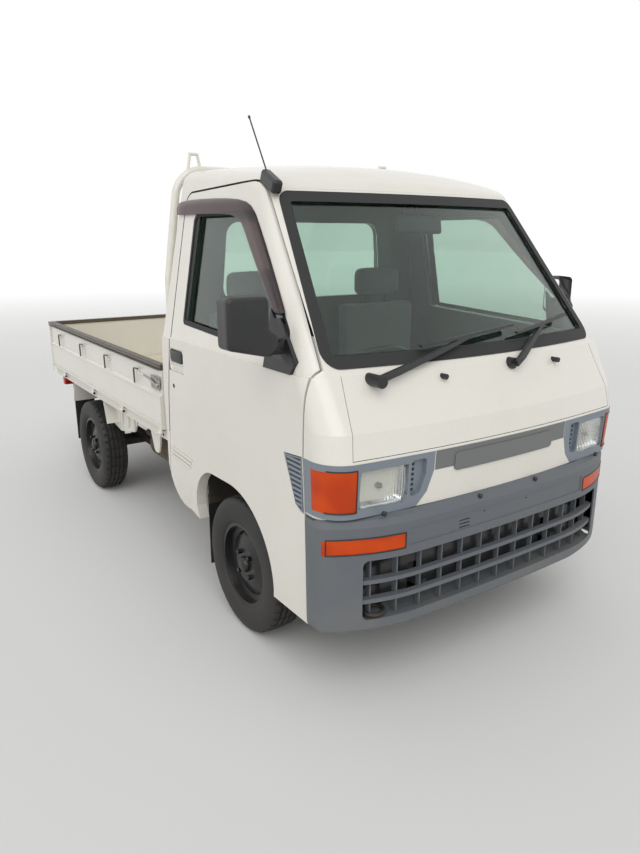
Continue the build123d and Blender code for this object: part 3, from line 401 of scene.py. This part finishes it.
# Making pieces
def piece(name, shape, body, material, round_angle=35):
    """A bmesh as a finished piece that rides on a body."""
    mesh = bpy.data.meshes.new(name)
    shape.to_mesh(mesh)
    shape.free()
    made = bpy.data.objects.new(name, mesh)
    scene.collection.objects.link(made)
    mesh.materials.append(material)
    mesh.shade_smooth()
    mesh.set_sharp_from_angle(angle=radians(round_angle))
    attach(made, body)
    return made


def rounded_block(shape, low, high, radius, segments=3, turn=None):
    """A block with rounded edges between two corners, added to a bmesh."""
    low, high = Vector(low), Vector(high)
    middle, size = (low + high) / 2, high - low
    place = Matrix.Translation(middle) @ (turn or Matrix.Identity(4)) @ Matrix.Diagonal((*size, 1))
    made = bmesh.ops.create_cube(shape, size=1, matrix=place)
    edges = list({e for v in made["verts"] for e in v.link_edges})
    rounding = {"offset": radius, "segments": segments, "profile": 0.5, "clamp_overlap": True}
    bmesh.ops.bevel(shape, geom=edges, affect="EDGES", material=-1, **rounding)


def turned(shape, profile, centre, axis=(1, 0, 0), steps=48, closed=True):
    """A profile of (radius, along) points spun round an axis, added to a bmesh."""
    axis = Vector(axis).normalized()
    side = axis.orthogonal().normalized()
    verts = [shape.verts.new(Vector(centre) + side * r + axis * a) for r, a in profile]
    pairs = list(zip(verts, verts[1:])) + ([(verts[-1], verts[0])] if closed else [])
    edges = [shape.edges.new(pair) for pair in pairs]
    around = {"cent": centre, "axis": axis, "angle": 2 * pi, "steps": steps}
    bmesh.ops.spin(shape, geom=verts + edges, use_merge=True, use_duplicate=False, **around)
    bmesh.ops.remove_doubles(shape, verts=shape.verts, dist=1e-6)
    bmesh.ops.recalc_face_normals(shape, faces=shape.faces)


def bar(shape, points, radius, sides=10):
    """A round bar along a line of points with smoothed corners, added to a bmesh."""
    line = bpy.data.curves.new("line", "CURVE")
    line.dimensions = "3D"
    spline = line.splines.new("POLY")
    spline.points.add(len(points) - 1)
    for point, place in zip(spline.points, points):
        point.co = (*place, 1)
    line.bevel_depth = radius
    line.bevel_resolution = max(1, (sides - 4) // 4)
    line.use_fill_caps = True
    holder = bpy.data.objects.new("line", line)
    mesh = bpy.data.meshes.new_from_object(holder)
    shape.from_mesh(mesh)
    bpy.data.objects.remove(holder)
    bpy.data.meshes.remove(mesh)


def new_verts(made):
    """The vertices among what an extrusion made."""
    return [v for v in made["geom"] if isinstance(v, bmesh.types.BMVert)]


def thicken(shape, thickness):
    """Gives sheets a thickness, with all faces looking outwards."""
    bmesh.ops.recalc_face_normals(shape, faces=shape.faces)
    bmesh.ops.solidify(shape, geom=list(shape.faces), thickness=thickness)
    bmesh.ops.recalc_face_normals(shape, faces=shape.faces)


# Tyres with grooved ribs and notched shoulders: one half of the section as (radius, along), from bead to middle
tyre_profile = (
    (0.160, 0.0500), (0.165, 0.0585), (0.176, 0.0662), (0.190, 0.0705), (0.205, 0.0723), (0.222, 0.0722),
    (0.238, 0.0700), (0.250, 0.0650), (0.2575, 0.0590), (0.2615, 0.0525), (0.2625, 0.0400), (0.2560, 0.0385),
    (0.2560, 0.0335), (0.2632, 0.0320), (0.2638, 0.0160), (0.2568, 0.0145), (0.2568, 0.0095), (0.2640, 0.0080),
    (0.2640, 0.0),
)
tyre_steps = 120
axle_z = 0.264
wheels = {
    "front_right": (-0.6065, -0.965),
    "front_left": (0.6065, -0.965),
    "rear_right": (-0.6065, 0.935),
    "rear_left": (0.6065, 0.935),
}


def tyre(name, centre, body):
    """A tyre round an axle's end, which stands for the plain one of the pack."""
    shape = bmesh.new()
    half = list(tyre_profile)
    turned(shape, half + [(r, -a) for r, a in reversed(half[:-1])], centre, steps=tyre_steps)
    notches = []
    for face in shape.faces:
        middle = face.calc_center_median() - Vector(centre)
        reach = (middle.y**2 + middle.z**2) ** 0.5
        step = round(atan2(middle.z, middle.y) / (2 * pi) * tyre_steps - 0.5)
        if reach > 0.2545 and 0.044 < abs(middle.x) < 0.062 and step % 3 == 0:
            notches.append(face)
        if reach > 0.262 and abs(middle.x) < 0.036 and face.calc_area() > 6e-5 and step % 4 == 1:
            notches.append(face)
    bmesh.ops.inset_individual(shape, faces=notches, thickness=0.0022, depth=-0.0035, use_even_offset=True)
    made = piece(f"tread_{name}", shape, body, tyre_rubber, 40)
    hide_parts(f"tyre_{name}")


cap_profile = ((0.0001, 0.020), (0.016, 0.0195), (0.026, 0.016), (0.031, 0.009), (0.032, 0.0), (0.0001, 0.0))
nut_profile = ((0.0001, 0.019), (0.0075, 0.0185), (0.0098, 0.016), (0.0098, 0.001), (0.0001, 0.001))
disc_face = 0.045
stud_circle = 0.055


def wheel_fittings(name, centre, body):
    """Centre cap, four nuts and the valve of one wheel, on its outer side."""
    side = -1 if centre[0] < 0 else 1
    out = Vector((side, 0, 0))
    shape = bmesh.new()
    face = Vector(centre) + out * disc_face
    turned(shape, cap_profile, face, out, 40)
    for stud in range(4):
        angle = pi / 4 + stud * pi / 2
        place = face + Vector((0, cos(angle), sin(angle))) * stud_circle - out * 0.003
        turned(shape, [(0.0001, 0.0), (0.0125, 0.0), (0.0118, 0.003)], place, out, 24, False)
        turned(shape, nut_profile, place, out, 6)
    bar(shape, [face + Vector((0, 0.04, 0.118)) - out * 0.020, face + Vector((0, 0.038, 0.108)) + out * 0.004], 0.0035)
    piece(f"hub_{name}", shape, body, wheel_paint, 30)


for name, (x, y) in wheels.items():
    tyre(name, (x, y, axle_z), f"wheel_{name}")
    wheel_fittings(name, (x, y, axle_z), f"wheel_{name}")


def corner_face(shape, places, radius, segments=5):
    """A face from its corners, each rounded, added to a bmesh."""
    verts = [shape.verts.new(place) for place in places]
    face = shape.faces.new(verts)
    before = set(shape.faces) - {face}
    bmesh.ops.bevel(
        shape, geom=verts + [face], offset=radius, segments=segments, profile=0.5, affect="VERTICES", material=-1
    )
    return max(set(shape.faces) - before, key=lambda made: made.calc_area())


def inner_step(shape, face, width):
    """A ring of faces inside a face's edge, which leaves the face smaller."""
    bmesh.ops.inset_region(shape, faces=[face], thickness=0.0, use_boundary=True)
    rim = list(face.verts)
    low = Vector(min(v.co[axis] for v in rim) for axis in range(3))
    high = Vector(max(v.co[axis] for v in rim) for axis in range(3))
    size = [1 - 2 * width / max(high[axis] - low[axis], 4 * width + 1e-6) for axis in range(3)]
    if high.x - low.x < high.y - low.y:
        size[0] = size[2]
    else:
        size[1] = size[0]
    bmesh.ops.scale(shape, verts=rim, vec=size, space=Matrix.Translation(-(low + high) / 2))


def cad_copy(name, keep):
    """The faces of a CAD node that a test keeps, merged, in a new bmesh."""
    shape = bmesh.new()
    shape.from_mesh(node[name].data)
    bmesh.ops.remove_doubles(shape, verts=shape.verts, dist=1e-6)
    bmesh.ops.delete(shape, geom=[face for face in shape.faces if not keep(face)], context="FACES")
    return shape


def front_at(name, x, z):
    """How far forward a CAD node's face lies, seen from the front, nearer the middle where a ray misses it."""
    for pull in (1.0, 0.99, 0.97):
        hit, place, *_ = node[name].ray_cast(Vector((x * pull, -2.0, z)), Vector((0, 1, 0)))
        if hit:
            return place.y
    return -1.6


# Rays can be cast only once the view layer is up to date
bpy.context.view_layer.update()

# Headlamps: a fluted lens over a bright bowl with its bulb
lamp_x, lamp_z = 0.507, 0.741
lamp_half_x, lamp_half_z = 0.083, 0.060
bulb_profile = (
    (0.0001, 0.0), (0.017, 0.0), (0.017, 0.006), (0.009, 0.010), (0.009, 0.034), (0.006, 0.040), (0.0001, 0.042)
)


def lamp_sheet(shape, side, columns, rows, depth):
    """A sheet with rounded corners that follows a headlamp's front, pushed back by a depth at each place."""
    grid = []
    for row in range(rows + 1):
        line = []
        for column in range(columns + 1):
            u, v = 2 * column / columns - 1, 2 * row / rows - 1
            x = lamp_x + lamp_half_x * u * (1 - 0.10 * v * v) ** 0.5
            z = lamp_z + lamp_half_z * v * (1 - 0.14 * u * u) ** 0.5
            y = front_at("headlamps", side * min(max(x, 0.432), 0.582), min(max(z, 0.690), 0.792))
            line.append(shape.verts.new((side * x, y + depth(u, v), z)))
        grid.append(line)
    for low, high in zip(grid, grid[1:]):
        for column in range(columns):
            shape.faces.new((low[column], low[column + 1], high[column + 1], high[column]))
    bmesh.ops.recalc_face_normals(shape, faces=shape.faces)


lens, bowls, bulbs = bmesh.new(), bmesh.new(), bmesh.new()
for side in (-1, 1):
    lamp_sheet(lens, side, 120, 14, lambda u, v: 0.0005 * cos(u * 15 * pi) - 0.003 * (1 - max(abs(u), abs(v)) ** 6))
    lamp_sheet(bowls, side, 28, 20, lambda u, v: 0.007 + 0.046 * (1 - max(abs(u), abs(v)) ** 3))
    centre = Vector((side * lamp_x, front_at("headlamps", side * lamp_x, lamp_z) + 0.050, lamp_z))
    turned(bulbs, bulb_profile, centre, (0, -1, 0), 24)
bmesh.ops.solidify(lens, geom=list(lens.faces), thickness=0.0025)
bmesh.ops.recalc_face_normals(lens, faces=lens.faces)
lamp_lens = piece("lamp_lens", lens, "chassis", lamp_glass, 60)
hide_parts("headlamps")
bowl = piece("lamp_bowls", bowls, "chassis", reflector, 60)
thick = bowl.modifiers.new("wall", "SOLIDIFY")
thick.thickness = 0.0012
piece("lamp_bulbs", bulbs, "chassis", bare_zinc, 30)

# Door trim: mirror, handle in its scoop, slatted corner, ribs, window edge and visor
belt_x, belt_z = 0.690, 1.072
outer_lean = 0.19025


def on_side(y, z, lift=0.0, side=-1):
    """A place on the leaning side of the cab above the belt."""
    return (side * (belt_x - outer_lean * (z - belt_z) + lift), y, z)


def side_edge(shape, points, side, lift):
    """A line of edges along the leaning side of the cab."""
    verts = [shape.verts.new(on_side(y, z, up, side)) for (y, z), up in zip(points, lift)]
    return [shape.edges.new(pair) for pair in zip(verts, verts[1:])]


# Outlines on the side of a door, as (y, z)
visor_outer = (
    (-0.372, 1.604), (-0.470, 1.612), (-0.700, 1.608), (-0.905, 1.598), (-0.985, 1.575),
    (-1.040, 1.528), (-1.155, 1.405), (-1.235, 1.315), (-1.306, 1.234),
)
visor_inner = (
    (-0.380, 1.553), (-0.470, 1.553), (-0.700, 1.550), (-0.880, 1.546), (-0.945, 1.520),
    (-0.985, 1.478), (-1.090, 1.375), (-1.170, 1.305), (-1.248, 1.236),
)
visor_rows = ((0.0, 0.0012), (0.08, 0.008), (0.42, 0.0150), (0.50, 0.0135), (0.93, 0.0140), (1.0, 0.0120))
window_corners = ((-0.535, 1.556), (-0.547, 1.140), (-1.338, 1.102), (-1.338, 1.186), (-1.010, 1.556))
window_strips = (
    ((-0.540, 1.550), (-0.580, 1.548), (-0.584, 1.146), (-0.549, 1.143)),
    ((-0.560, 1.157), (-1.322, 1.120), (-1.322, 1.110), (-0.560, 1.147)),
)
louvre_corners = ((-1.336, 0.815), (-1.437, 0.825), (-1.439, 0.647), (-1.401, 0.665))
scoop_corners = ((-0.434, 0.944), (-0.568, 0.944), (-0.568, 1.032), (-0.434, 1.032))
door_ribs = ((-0.392, -0.604, 0.592), (-0.390, -0.592, 0.574), (-0.388, -0.580, 0.556))
scoop_middle = Matrix.Translation((0, 0.501, -0.988))
lock_profile = ((0.0001, 0.004), (0.0085, 0.004), (0.0105, 0.0025), (0.0115, 0.0), (0.0001, 0.0))

# The glass of the right mirror, which is out, and of the left one, which is folded back
mirror_turn = {
    "right": Matrix.Translation((-0.728, -1.305, 0)),
    "left": Matrix.Translation((0.728, -1.240, 0)) @ Matrix.Rotation(radians(60), 4, "Z"),
}
mirror_corners = ((0.016, 1.296), (0.156, 1.296), (0.156, 1.172), (0.034, 1.146), (0.016, 1.180))

for label, side in (("right", -1), ("left", 1)):
    door = f"door_{label}"
    # Mirror head, arm and three-cornered base, kept as the solid has them, with a glass at the back
    shape = cad_copy(f"door_trim_{label}", lambda face: face.calc_center_median().z > 1.035)
    made = piece(f"mirror_{label}", shape, door, black_plastic, 30)
    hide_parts(f"door_trim_{label}")
    shape = bmesh.new()
    turn = mirror_turn[label]
    face = corner_face(shape, [turn @ Vector((side * x, 0.0008, z)) for x, z in mirror_corners], 0.014)
    inner_step(shape, face, 0.004)
    bmesh.ops.solidify(shape, geom=list(shape.faces), thickness=0.002)
    bmesh.ops.recalc_face_normals(shape, faces=shape.faces)
    piece(f"mirror_glass_{label}", shape, door, mirror_face, 30)

    # Scoop in body colour behind a paddle handle, and the lock
    out = side * 0.6945
    shape = bmesh.new()
    face = corner_face(shape, [(out, y, z) for y, z in scoop_corners], 0.020)
    edges = list(face.edges)
    rim = bmesh.ops.extrude_edge_only(shape, edges=edges)
    deep = new_verts(rim)
    bmesh.ops.delete(shape, geom=[face], context="FACES_ONLY")
    bmesh.ops.translate(shape, verts=deep, vec=(-side * 0.0105, 0, 0))
    bmesh.ops.scale(shape, verts=deep, vec=(1, 0.95, 0.92), space=scoop_middle)
    loop = [e for e in rim["geom"] if isinstance(e, bmesh.types.BMEdge) and all(v in deep for v in e.verts)]
    bmesh.ops.contextual_create(shape, geom=loop)
    lip = bmesh.ops.extrude_edge_only(shape, edges=edges)
    bmesh.ops.scale(shape, verts=new_verts(lip), vec=(1, 1.09, 1.13), space=scoop_middle)
    bmesh.ops.recalc_face_normals(shape, faces=shape.faces)
    piece(f"handle_scoop_{label}", shape, door, white_paint, 50)
    shape = bmesh.new()
    low, high = sorted((side * 0.6860, side * 0.6975))
    rounded_block(shape, (low, -0.560, 0.984), (high, -0.442, 1.026), 0.0055, 4)
    rounded_block(shape, (low, -0.552, 0.978), (high - 0.001, -0.450, 0.990), 0.004, 3)
    lock = Vector((side * 0.6945, -0.466, 0.877))
    turned(shape, lock_profile, lock, (side, 0, 0), 32)
    piece(f"handle_{label}", shape, door, black_plastic, 35)

    # Slatted corner piece ahead of the door
    shape = bmesh.new()
    face = corner_face(shape, [(side * 0.6865, y, z) for y, z in louvre_corners], 0.006)
    inner_step(shape, face, 0.005)
    raised = bmesh.ops.extrude_face_region(shape, geom=[f for f in shape.faces if f is not face])
    bmesh.ops.translate(shape, verts=new_verts(raised), vec=(side * 0.0095, 0, 0))
    for slat in range(10):
        level = 0.668 + slat * 0.0155
        back = -1.401 + (level - 0.665) / 0.150 * 0.065
        back = min(-1.342, max(-1.399, back)) + 0.001
        low, high = sorted((side * 0.688, side * 0.6955))
        tilt = Matrix.Rotation(side * radians(-24), 4, "Y")
        rounded_block(shape, (low, -1.434, level - 0.0042), (high, back, level + 0.0042), 0.0016, 2, tilt)
    bmesh.ops.recalc_face_normals(shape, faces=shape.faces)
    piece(f"corner_slats_{label}", shape, door, bezel_plastic, 30)

    # Three pressed ribs low on the door
    shape = bmesh.new()
    low, high = sorted((side * 0.6925, side * 0.6975))
    slope = Matrix.Rotation(radians(2.5), 4, "X")
    for rear, front, height in door_ribs:
        rounded_block(shape, (low, front, height - 0.0042), (high, rear, height + 0.0042), 0.0024, 3, slope)
    piece(f"door_ribs_{label}", shape, door, white_paint, 40)

    # Rubber edge round the window, with the wide black strips at its rear and its foot
    shape = bmesh.new()
    face = corner_face(shape, [on_side(y, z, 0.0015, side) for y, z in window_corners], 0.028)
    inner_step(shape, face, 0.012)
    bmesh.ops.delete(shape, geom=[face], context="FACES_ONLY")
    for strip, depth in zip(window_strips, (-0.006, -0.001)):
        shape.faces.new([shape.verts.new(on_side(y, z, depth, side)) for y, z in strip])
    thicken(shape, 0.004)
    piece(f"window_edge_{label}", shape, door, seal_rubber, 40)

    # Tinted visor, bowed outwards, with the crease along its middle
    shape = bmesh.new()
    rows = []
    for share, lift in visor_rows:
        points = [
            tuple(a + (b - a) * share for a, b in zip(first, last)) for first, last in zip(visor_outer, visor_inner)
        ]
        rows.append(side_edge(shape, points, side, [lift] * len(points)))
    for first, last in zip(rows, rows[1:]):
        bmesh.ops.bridge_loops(shape, edges=first + last)
    thicken(shape, 0.0025)
    made = piece(f"visor_{label}", shape, door, visor_tint, 40)
    smooth = made.modifiers.new("smooth", "SUBSURF")
    smooth.levels = smooth.render_levels = 1
    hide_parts(f"door_visor_{label}")


# Seats: padded cushions, backs and headrests in cloth
puff_frames = 20


def cushion(name, low, high, radius, swell, flat_foot):
    """A padded block: rounded, remeshed, blown up as cloth with a cap on how far it moves, then smoothed."""
    low, high = Vector(low), Vector(high)
    shape = bmesh.new()
    rounded_block(shape, low, high, radius, 4)
    made = piece(name, shape, "chassis", seat_cloth, 80)
    grid = made.modifiers.new("grid", "REMESH")
    grid.mode, grid.voxel_size = "VOXEL", 0.006
    mesh = bpy.data.meshes.new_from_object(made.evaluated_get(bpy.context.evaluated_depsgraph_get()))
    made.modifiers.clear()
    made.data = mesh
    start = [v.co.copy() for v in mesh.vertices]
    held = made.vertex_groups.new(name="held")
    held.add([v.index for v in mesh.vertices if flat_foot and v.co.z < low.z + 0.012], 1.0, "REPLACE")
    puff = made.modifiers.new("puff", "CLOTH")
    puff.settings.use_pressure = True
    puff.settings.uniform_pressure_force = 4
    puff.settings.effector_weights.gravity = 0
    puff.settings.vertex_group_mass = "held"
    puff.point_cache.frame_start, puff.point_cache.frame_end = 1, puff_frames
    for number in range(1, puff_frames + 1):
        scene.frame_set(number)
    blown = made.evaluated_get(bpy.context.evaluated_depsgraph_get()).data
    ends = [v.co.copy() for v in blown.vertices]
    made.modifiers.clear()
    scene.frame_set(1)
    for vert, first, last in zip(mesh.vertices, start, ends):
        move = last - first
        vert.co = first + move * min(1.0, swell / max(move.length, 1e-6))
    mesh.materials.clear()
    mesh.materials.append(seat_cloth)
    mesh.shade_smooth()
    smooth = made.modifiers.new("smooth", "SUBSURF")
    smooth.levels = smooth.render_levels = 1
    return made


# Name, two corners, corner radius, how far it may swell, and whether its foot stays flat
pads = (
    ("seat_pad", (-0.222, -1.018, 0.652), (0.222, -0.578, 0.756), 0.028, 0.012, True),
    ("seat_back", (-0.212, -0.552, 0.772), (0.212, -0.456, 1.176), 0.030, 0.012, False),
    ("headrest", (-0.120, -0.542, 1.206), (0.120, -0.466, 1.328), 0.030, 0.010, False),
)
for label, middle in (("right", -0.330), ("left", 0.330)):
    made = []
    for name, low, high, radius, swell, foot in pads:
        low, high = (low[0] + middle, *low[1:]), (high[0] + middle, *high[1:])
        made.append(cushion(f"{name}_{label}", low, high, radius, swell, foot))
    if label == "left":
        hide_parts("seats")
    shape = bmesh.new()
    for x in (-0.05, 0.05):
        bar(shape, [(middle + x, -0.504, 1.165), (middle + x, -0.504, 1.225)], 0.006, 12)
    rounded_block(shape, (middle - 0.20, -0.98, 0.640), (middle + 0.20, -0.60, 0.656), 0.004, 2)
    piece(f"seat_posts_{label}", shape, "chassis", black_plastic, 30)

# Gates: beads along the worn top rail, pressed lines, a latch, hooks and the ends of the hinge pins
gate_front, gate_rear = -0.296, 1.600
rail_beads = ((0.6985, 0.9325, 0.0035), (0.6985, 0.9165, 0.0030), (0.6800, 0.9375, 0.0035), (0.6640, 0.9365, 0.0030))
latch_lever = ((0.697, -0.284, 0.842), (0.699, -0.262, 0.846), (0.700, -0.190, 0.862), (0.698, -0.120, 0.866))
latch_pin = ((0.0001, 0.009), (0.008, 0.009), (0.010, 0.006), (0.010, 0.0), (0.0001, 0.0))
hook_line = ((0.6975, 0.0, 0.808), (0.6985, 0.0, 0.872), (0.6985, -0.006, 0.879), (0.6975, -0.055, 0.882))
hook_spots = (1.378, 0.912, 0.462, 0.016)
hinge_spots = (-0.256, 0.261, 0.757, 1.350)
hinge_profile = ((0.0001, 0.0035), (0.0058, 0.0032), (0.0068, 0.0022), (0.0068, 0.0), (0.0001, 0.0))
for label, side in (("right", -1), ("left", 1)):
    body = f"gate_{label}"
    shape = bmesh.new()
    for x, z, radius in rail_beads:
        bar(shape, [(side * x, gate_front, z), (side * x, gate_rear, z)], radius, 12)
    piece(f"gate_rail_{label}", shape, body, rail_paint, 30)
    shape = bmesh.new()
    low, high = sorted((side * 0.6935, side * 0.6995))
    rounded_block(shape, (low, gate_front - 0.002, 0.794), (high, gate_rear, 0.8005), 0.0025, 3)
    rounded_block(shape, (low + 0.001, -0.285, 0.662), (high - 0.001, 1.590, 0.666), 0.0015, 2)
    for y in (-0.296, 1.598):
        rounded_block(shape, (low + 0.001, y - 0.002, 0.618), (high - 0.001, y + 0.003, 0.795), 0.0015, 2)
    piece(f"gate_lines_{label}", shape, body, white_paint, 30)
    # Latch: a plate in the band with a lever lying along it
    shape = bmesh.new()
    low, high = sorted((side * 0.690, side * 0.694))
    rounded_block(shape, (low, -0.292, 0.822), (high, -0.190, 0.880), 0.0015, 2)
    bar(shape, [(side * x, y, z) for x, y, z in latch_lever], 0.005, 12)
    bar(shape, [(side * 0.697, -0.282, 0.872), (side * 0.697, -0.214, 0.876)], 0.004, 12)
    turned(shape, latch_pin, (side * 0.693, -0.272, 0.844), (side, 0, 0), 24)
    piece(f"gate_latch_{label}", shape, body, bare_zinc, 30)
    shape = bmesh.new()
    for spot in hook_spots:
        bar(shape, [(side * x, spot + y, z) for x, y, z in hook_line], 0.0042, 12)
    piece(f"gate_hooks_{label}", shape, body, rail_paint, 40)
    shape = bmesh.new()
    for y in hinge_spots:
        turned(shape, hinge_profile, (side * 0.690, y - 0.0255, 0.622), (0, -1, 0), 24)
    piece(f"hinge_ends_{label}", shape, "chassis", black_plastic, 30)

# Stays and brackets below the bed, and flared plates ahead of and behind the rear wheels
plates = (
    ((0.250, 0.600), (0.640, 0.600), (0.700, 0.452), (0.560, 0.430), (0.330, 0.475)),
    ((-0.075, 0.600), (0.085, 0.600), (0.040, 0.500), (0.020, 0.455), (-0.030, 0.455), (-0.050, 0.500)),
    ((1.290, 0.600), (1.400, 0.600), (1.378, 0.470), (1.350, 0.470)),
)
for label, side in (("right", -1), ("left", 1)):
    shape = bmesh.new()
    for points, low, high in zip(plates, (0.600, 0.610, 0.610), (0.606, 0.618, 0.618)):
        face = corner_face(shape, [(side * high, y, z) for y, z in points], 0.012)
        made = bmesh.ops.extrude_face_region(shape, geom=[face])
        bmesh.ops.translate(shape, verts=new_verts(made), vec=(side * (low - high), 0, 0))
    bmesh.ops.recalc_face_normals(shape, faces=shape.faces)
    bmesh.ops.holes_fill(shape, edges=[e for e in shape.edges if e.is_boundary], sides=0)
    bmesh.ops.recalc_face_normals(shape, faces=shape.faces)
    for y in (0.330, 0.420, 0.520):
        low, high = sorted((side * 0.604, side * 0.616))
        rounded_block(shape, (low, y - 0.010, 0.480), (high, y + 0.010, 0.598), 0.005, 3)
    piece(f"bed_stays_{label}", shape, "chassis", white_paint, 30)

# Ridge along the belt and the crease below it
ridge_line = ((0.6895, -0.394, 1.0700), (0.6900, -1.000, 1.0560), (0.6900, -1.300, 1.0500))
crease_line = ((0.6930, -0.440, 0.862), (0.6930, -0.717, 0.832), (0.6930, -1.002, 0.824), (0.6930, -1.330, 0.823))
for label, side in (("right", -1), ("left", 1)):
    belt = bmesh.new()
    for line, radius in ((ridge_line, 0.0060), (crease_line, 0.0045)):
        bar(belt, [(side * x, y, z) for x, y, z in line], radius, 14)
    piece(f"belt_ridge_{label}", belt, f"door_{label}", white_paint, 60)

# Behind the grille: a dark sheet and tray as painted shade in the space behind it, the towing eye in its opening, and
# clips on the bumper's upper edge
clip_profile = ((0.0001, 0.004), (0.006, 0.0035), (0.0085, 0.001), (0.0085, -0.006), (0.0001, -0.006))
clip_spots = ((-0.521, -1.625, 0.667), (-0.126, -1.643, 0.644), (0.151, -1.643, 0.648), (0.521, -1.625, 0.667))
shape = bmesh.new()
# A dark sheet and a tray low down, as painted shade behind the grille
rounded_block(shape, (-0.560, -1.500, 0.285), (0.560, -1.490, 0.600), 0.004, 2)
rounded_block(shape, (-0.600, -1.500, 0.280), (0.600, -1.300, 0.288), 0.003, 2)
piece("grille_shade_backing", shape, "chassis", flap_rubber, 30)
shape = bmesh.new()
ring = [(-0.520 + 0.034 * cos(step * pi / 8), -1.580 - 0.030 * sin(step * pi / 8), 0.322) for step in range(17)]
bar(shape, ring, 0.007, 14)
bar(shape, [(-0.520, -1.560, 0.322), (-0.520, -1.495, 0.328)], 0.008, 14)
piece("tow_eye", shape, "chassis", chassis_paint, 40)
shape = bmesh.new()
for spot in clip_spots:
    turned(shape, clip_profile, spot, (0, -1, 0), 20)
piece("bumper_clips", shape, "chassis", black_plastic, 30)

# Shelf inside the bumper behind the lowest row of the grille
shape = bmesh.new()
rows = []
for step in range(25):
    x = -0.600 + step * 0.050
    y = front_at("bumper", x, 0.288)
    section = ((y + 0.010, 0.290), (y + 0.034, 0.302), (-1.500, 0.330), (-1.492, 0.352))
    rows.append([shape.verts.new((x, depth, z)) for depth, z in section])
for first, last in zip(rows, rows[1:]):
    for one, two in zip(range(3), range(1, 4)):
        shape.faces.new((first[one], first[two], last[two], last[one]))
thicken(shape, 0.003)
piece("bumper_shelf", shape, "chassis", bumper_plastic, 30)

# Dark rims round the orange lenses: closed round the lower ones, open at the corner on the upper ones
lens_outer_x = 0.682
lens_boxes = ((0.441, 0.5395, 0.5905, True), (0.602, 0.6765, 0.8095, False))
shape = bmesh.new()
for side in (-1, 1):
    for low_x, low_z, high_z, closed in lens_boxes:
        steps = [low_x + (lens_outer_x - low_x) * step / 10 for step in range(11)]
        middle = (low_z + high_z) / 2
        loop = [(x, low_z) for x in reversed(steps)] + [(x, high_z) for x in steps]
        if closed:
            loop.append(loop[0])
        places = []
        for x, z in loop:
            y = front_at("orange_lamps", side * x, middle + (z - middle) * 0.8)
            places.append((side * x, y - 0.0005, z))
        bar(shape, places, 0.0024, 12)
piece("lens_rims", shape, "chassis", black_plastic, 40)

# Room mirror under the roof's front edge
shape = bmesh.new()
rounded_block(shape, (-0.065, -1.112, 1.478), (0.155, -1.088, 1.548), 0.012, 4, Matrix.Rotation(radians(-10), 4, "X"))
bar(shape, [(0.045, -1.095, 1.540), (0.045, -1.060, 1.600), (0.045, -1.060, 1.640)], 0.007, 12)
piece("room_mirror", shape, "chassis", black_plastic, 30)

# Floor and light
floor_finish, tree, shader = finish_of("pale_floor", 0.9)
place = tree.nodes.new("ShaderNodeTexCoord").outputs["Object"]
away = wire(tree, "ShaderNodeVectorMath", {"operation": "LENGTH"}, i0=place).outputs["Value"]
fade = remap(tree, away, 4.0, 22.0)
tree.links.new(blend_colour(tree, fade, (0.72, 0.72, 0.71, 1), (0, 0, 0, 1)), shader.inputs["Base Color"])
tree.links.new(blend_colour(tree, fade, (0, 0, 0, 1), (1, 1, 1, 1)), shader.inputs["Emission Color"])
shader.inputs["Emission Strength"].default_value = 1.0
shape = bmesh.new()
bmesh.ops.create_grid(shape, x_segments=1, y_segments=1, size=60)
mesh = bpy.data.meshes.new("floor")
shape.to_mesh(mesh)
floor = bpy.data.objects.new("floor", mesh)
mesh.materials.append(floor_finish)
scene.collection.objects.link(floor)

sky = bpy.data.worlds.new("sky")
scene.world = sky
sky.use_nodes = True
tree = sky.node_tree
back = tree.nodes["Background"]
path = tree.nodes.new("ShaderNodeLightPath")
seen = maths(tree, "MAXIMUM", path.outputs["Is Camera Ray"], path.outputs["Is Glossy Ray"])
seen = maths(tree, "MAXIMUM", seen, path.outputs["Is Transmission Ray"])
tree.links.new(maths(tree, "ADD", maths(tree, "MULTIPLY", seen, 0.38), 0.62), back.inputs["Strength"])
back.inputs["Color"].default_value = (1, 1, 1, 1)

for name, aim, strength, spread in (("key", (0.45, 0.75, -0.85), 1.15, 50), ("side", (0.9, 0.1, -0.5), 0.35, 60)):
    lamp = bpy.data.lights.new(name, "SUN")
    lamp.energy = strength
    lamp.angle = radians(spread)
    holder = bpy.data.objects.new(name, lamp)
    holder.rotation_euler = Vector(aim).to_track_quat("-Z", "Y").to_euler()
    scene.collection.objects.link(holder)
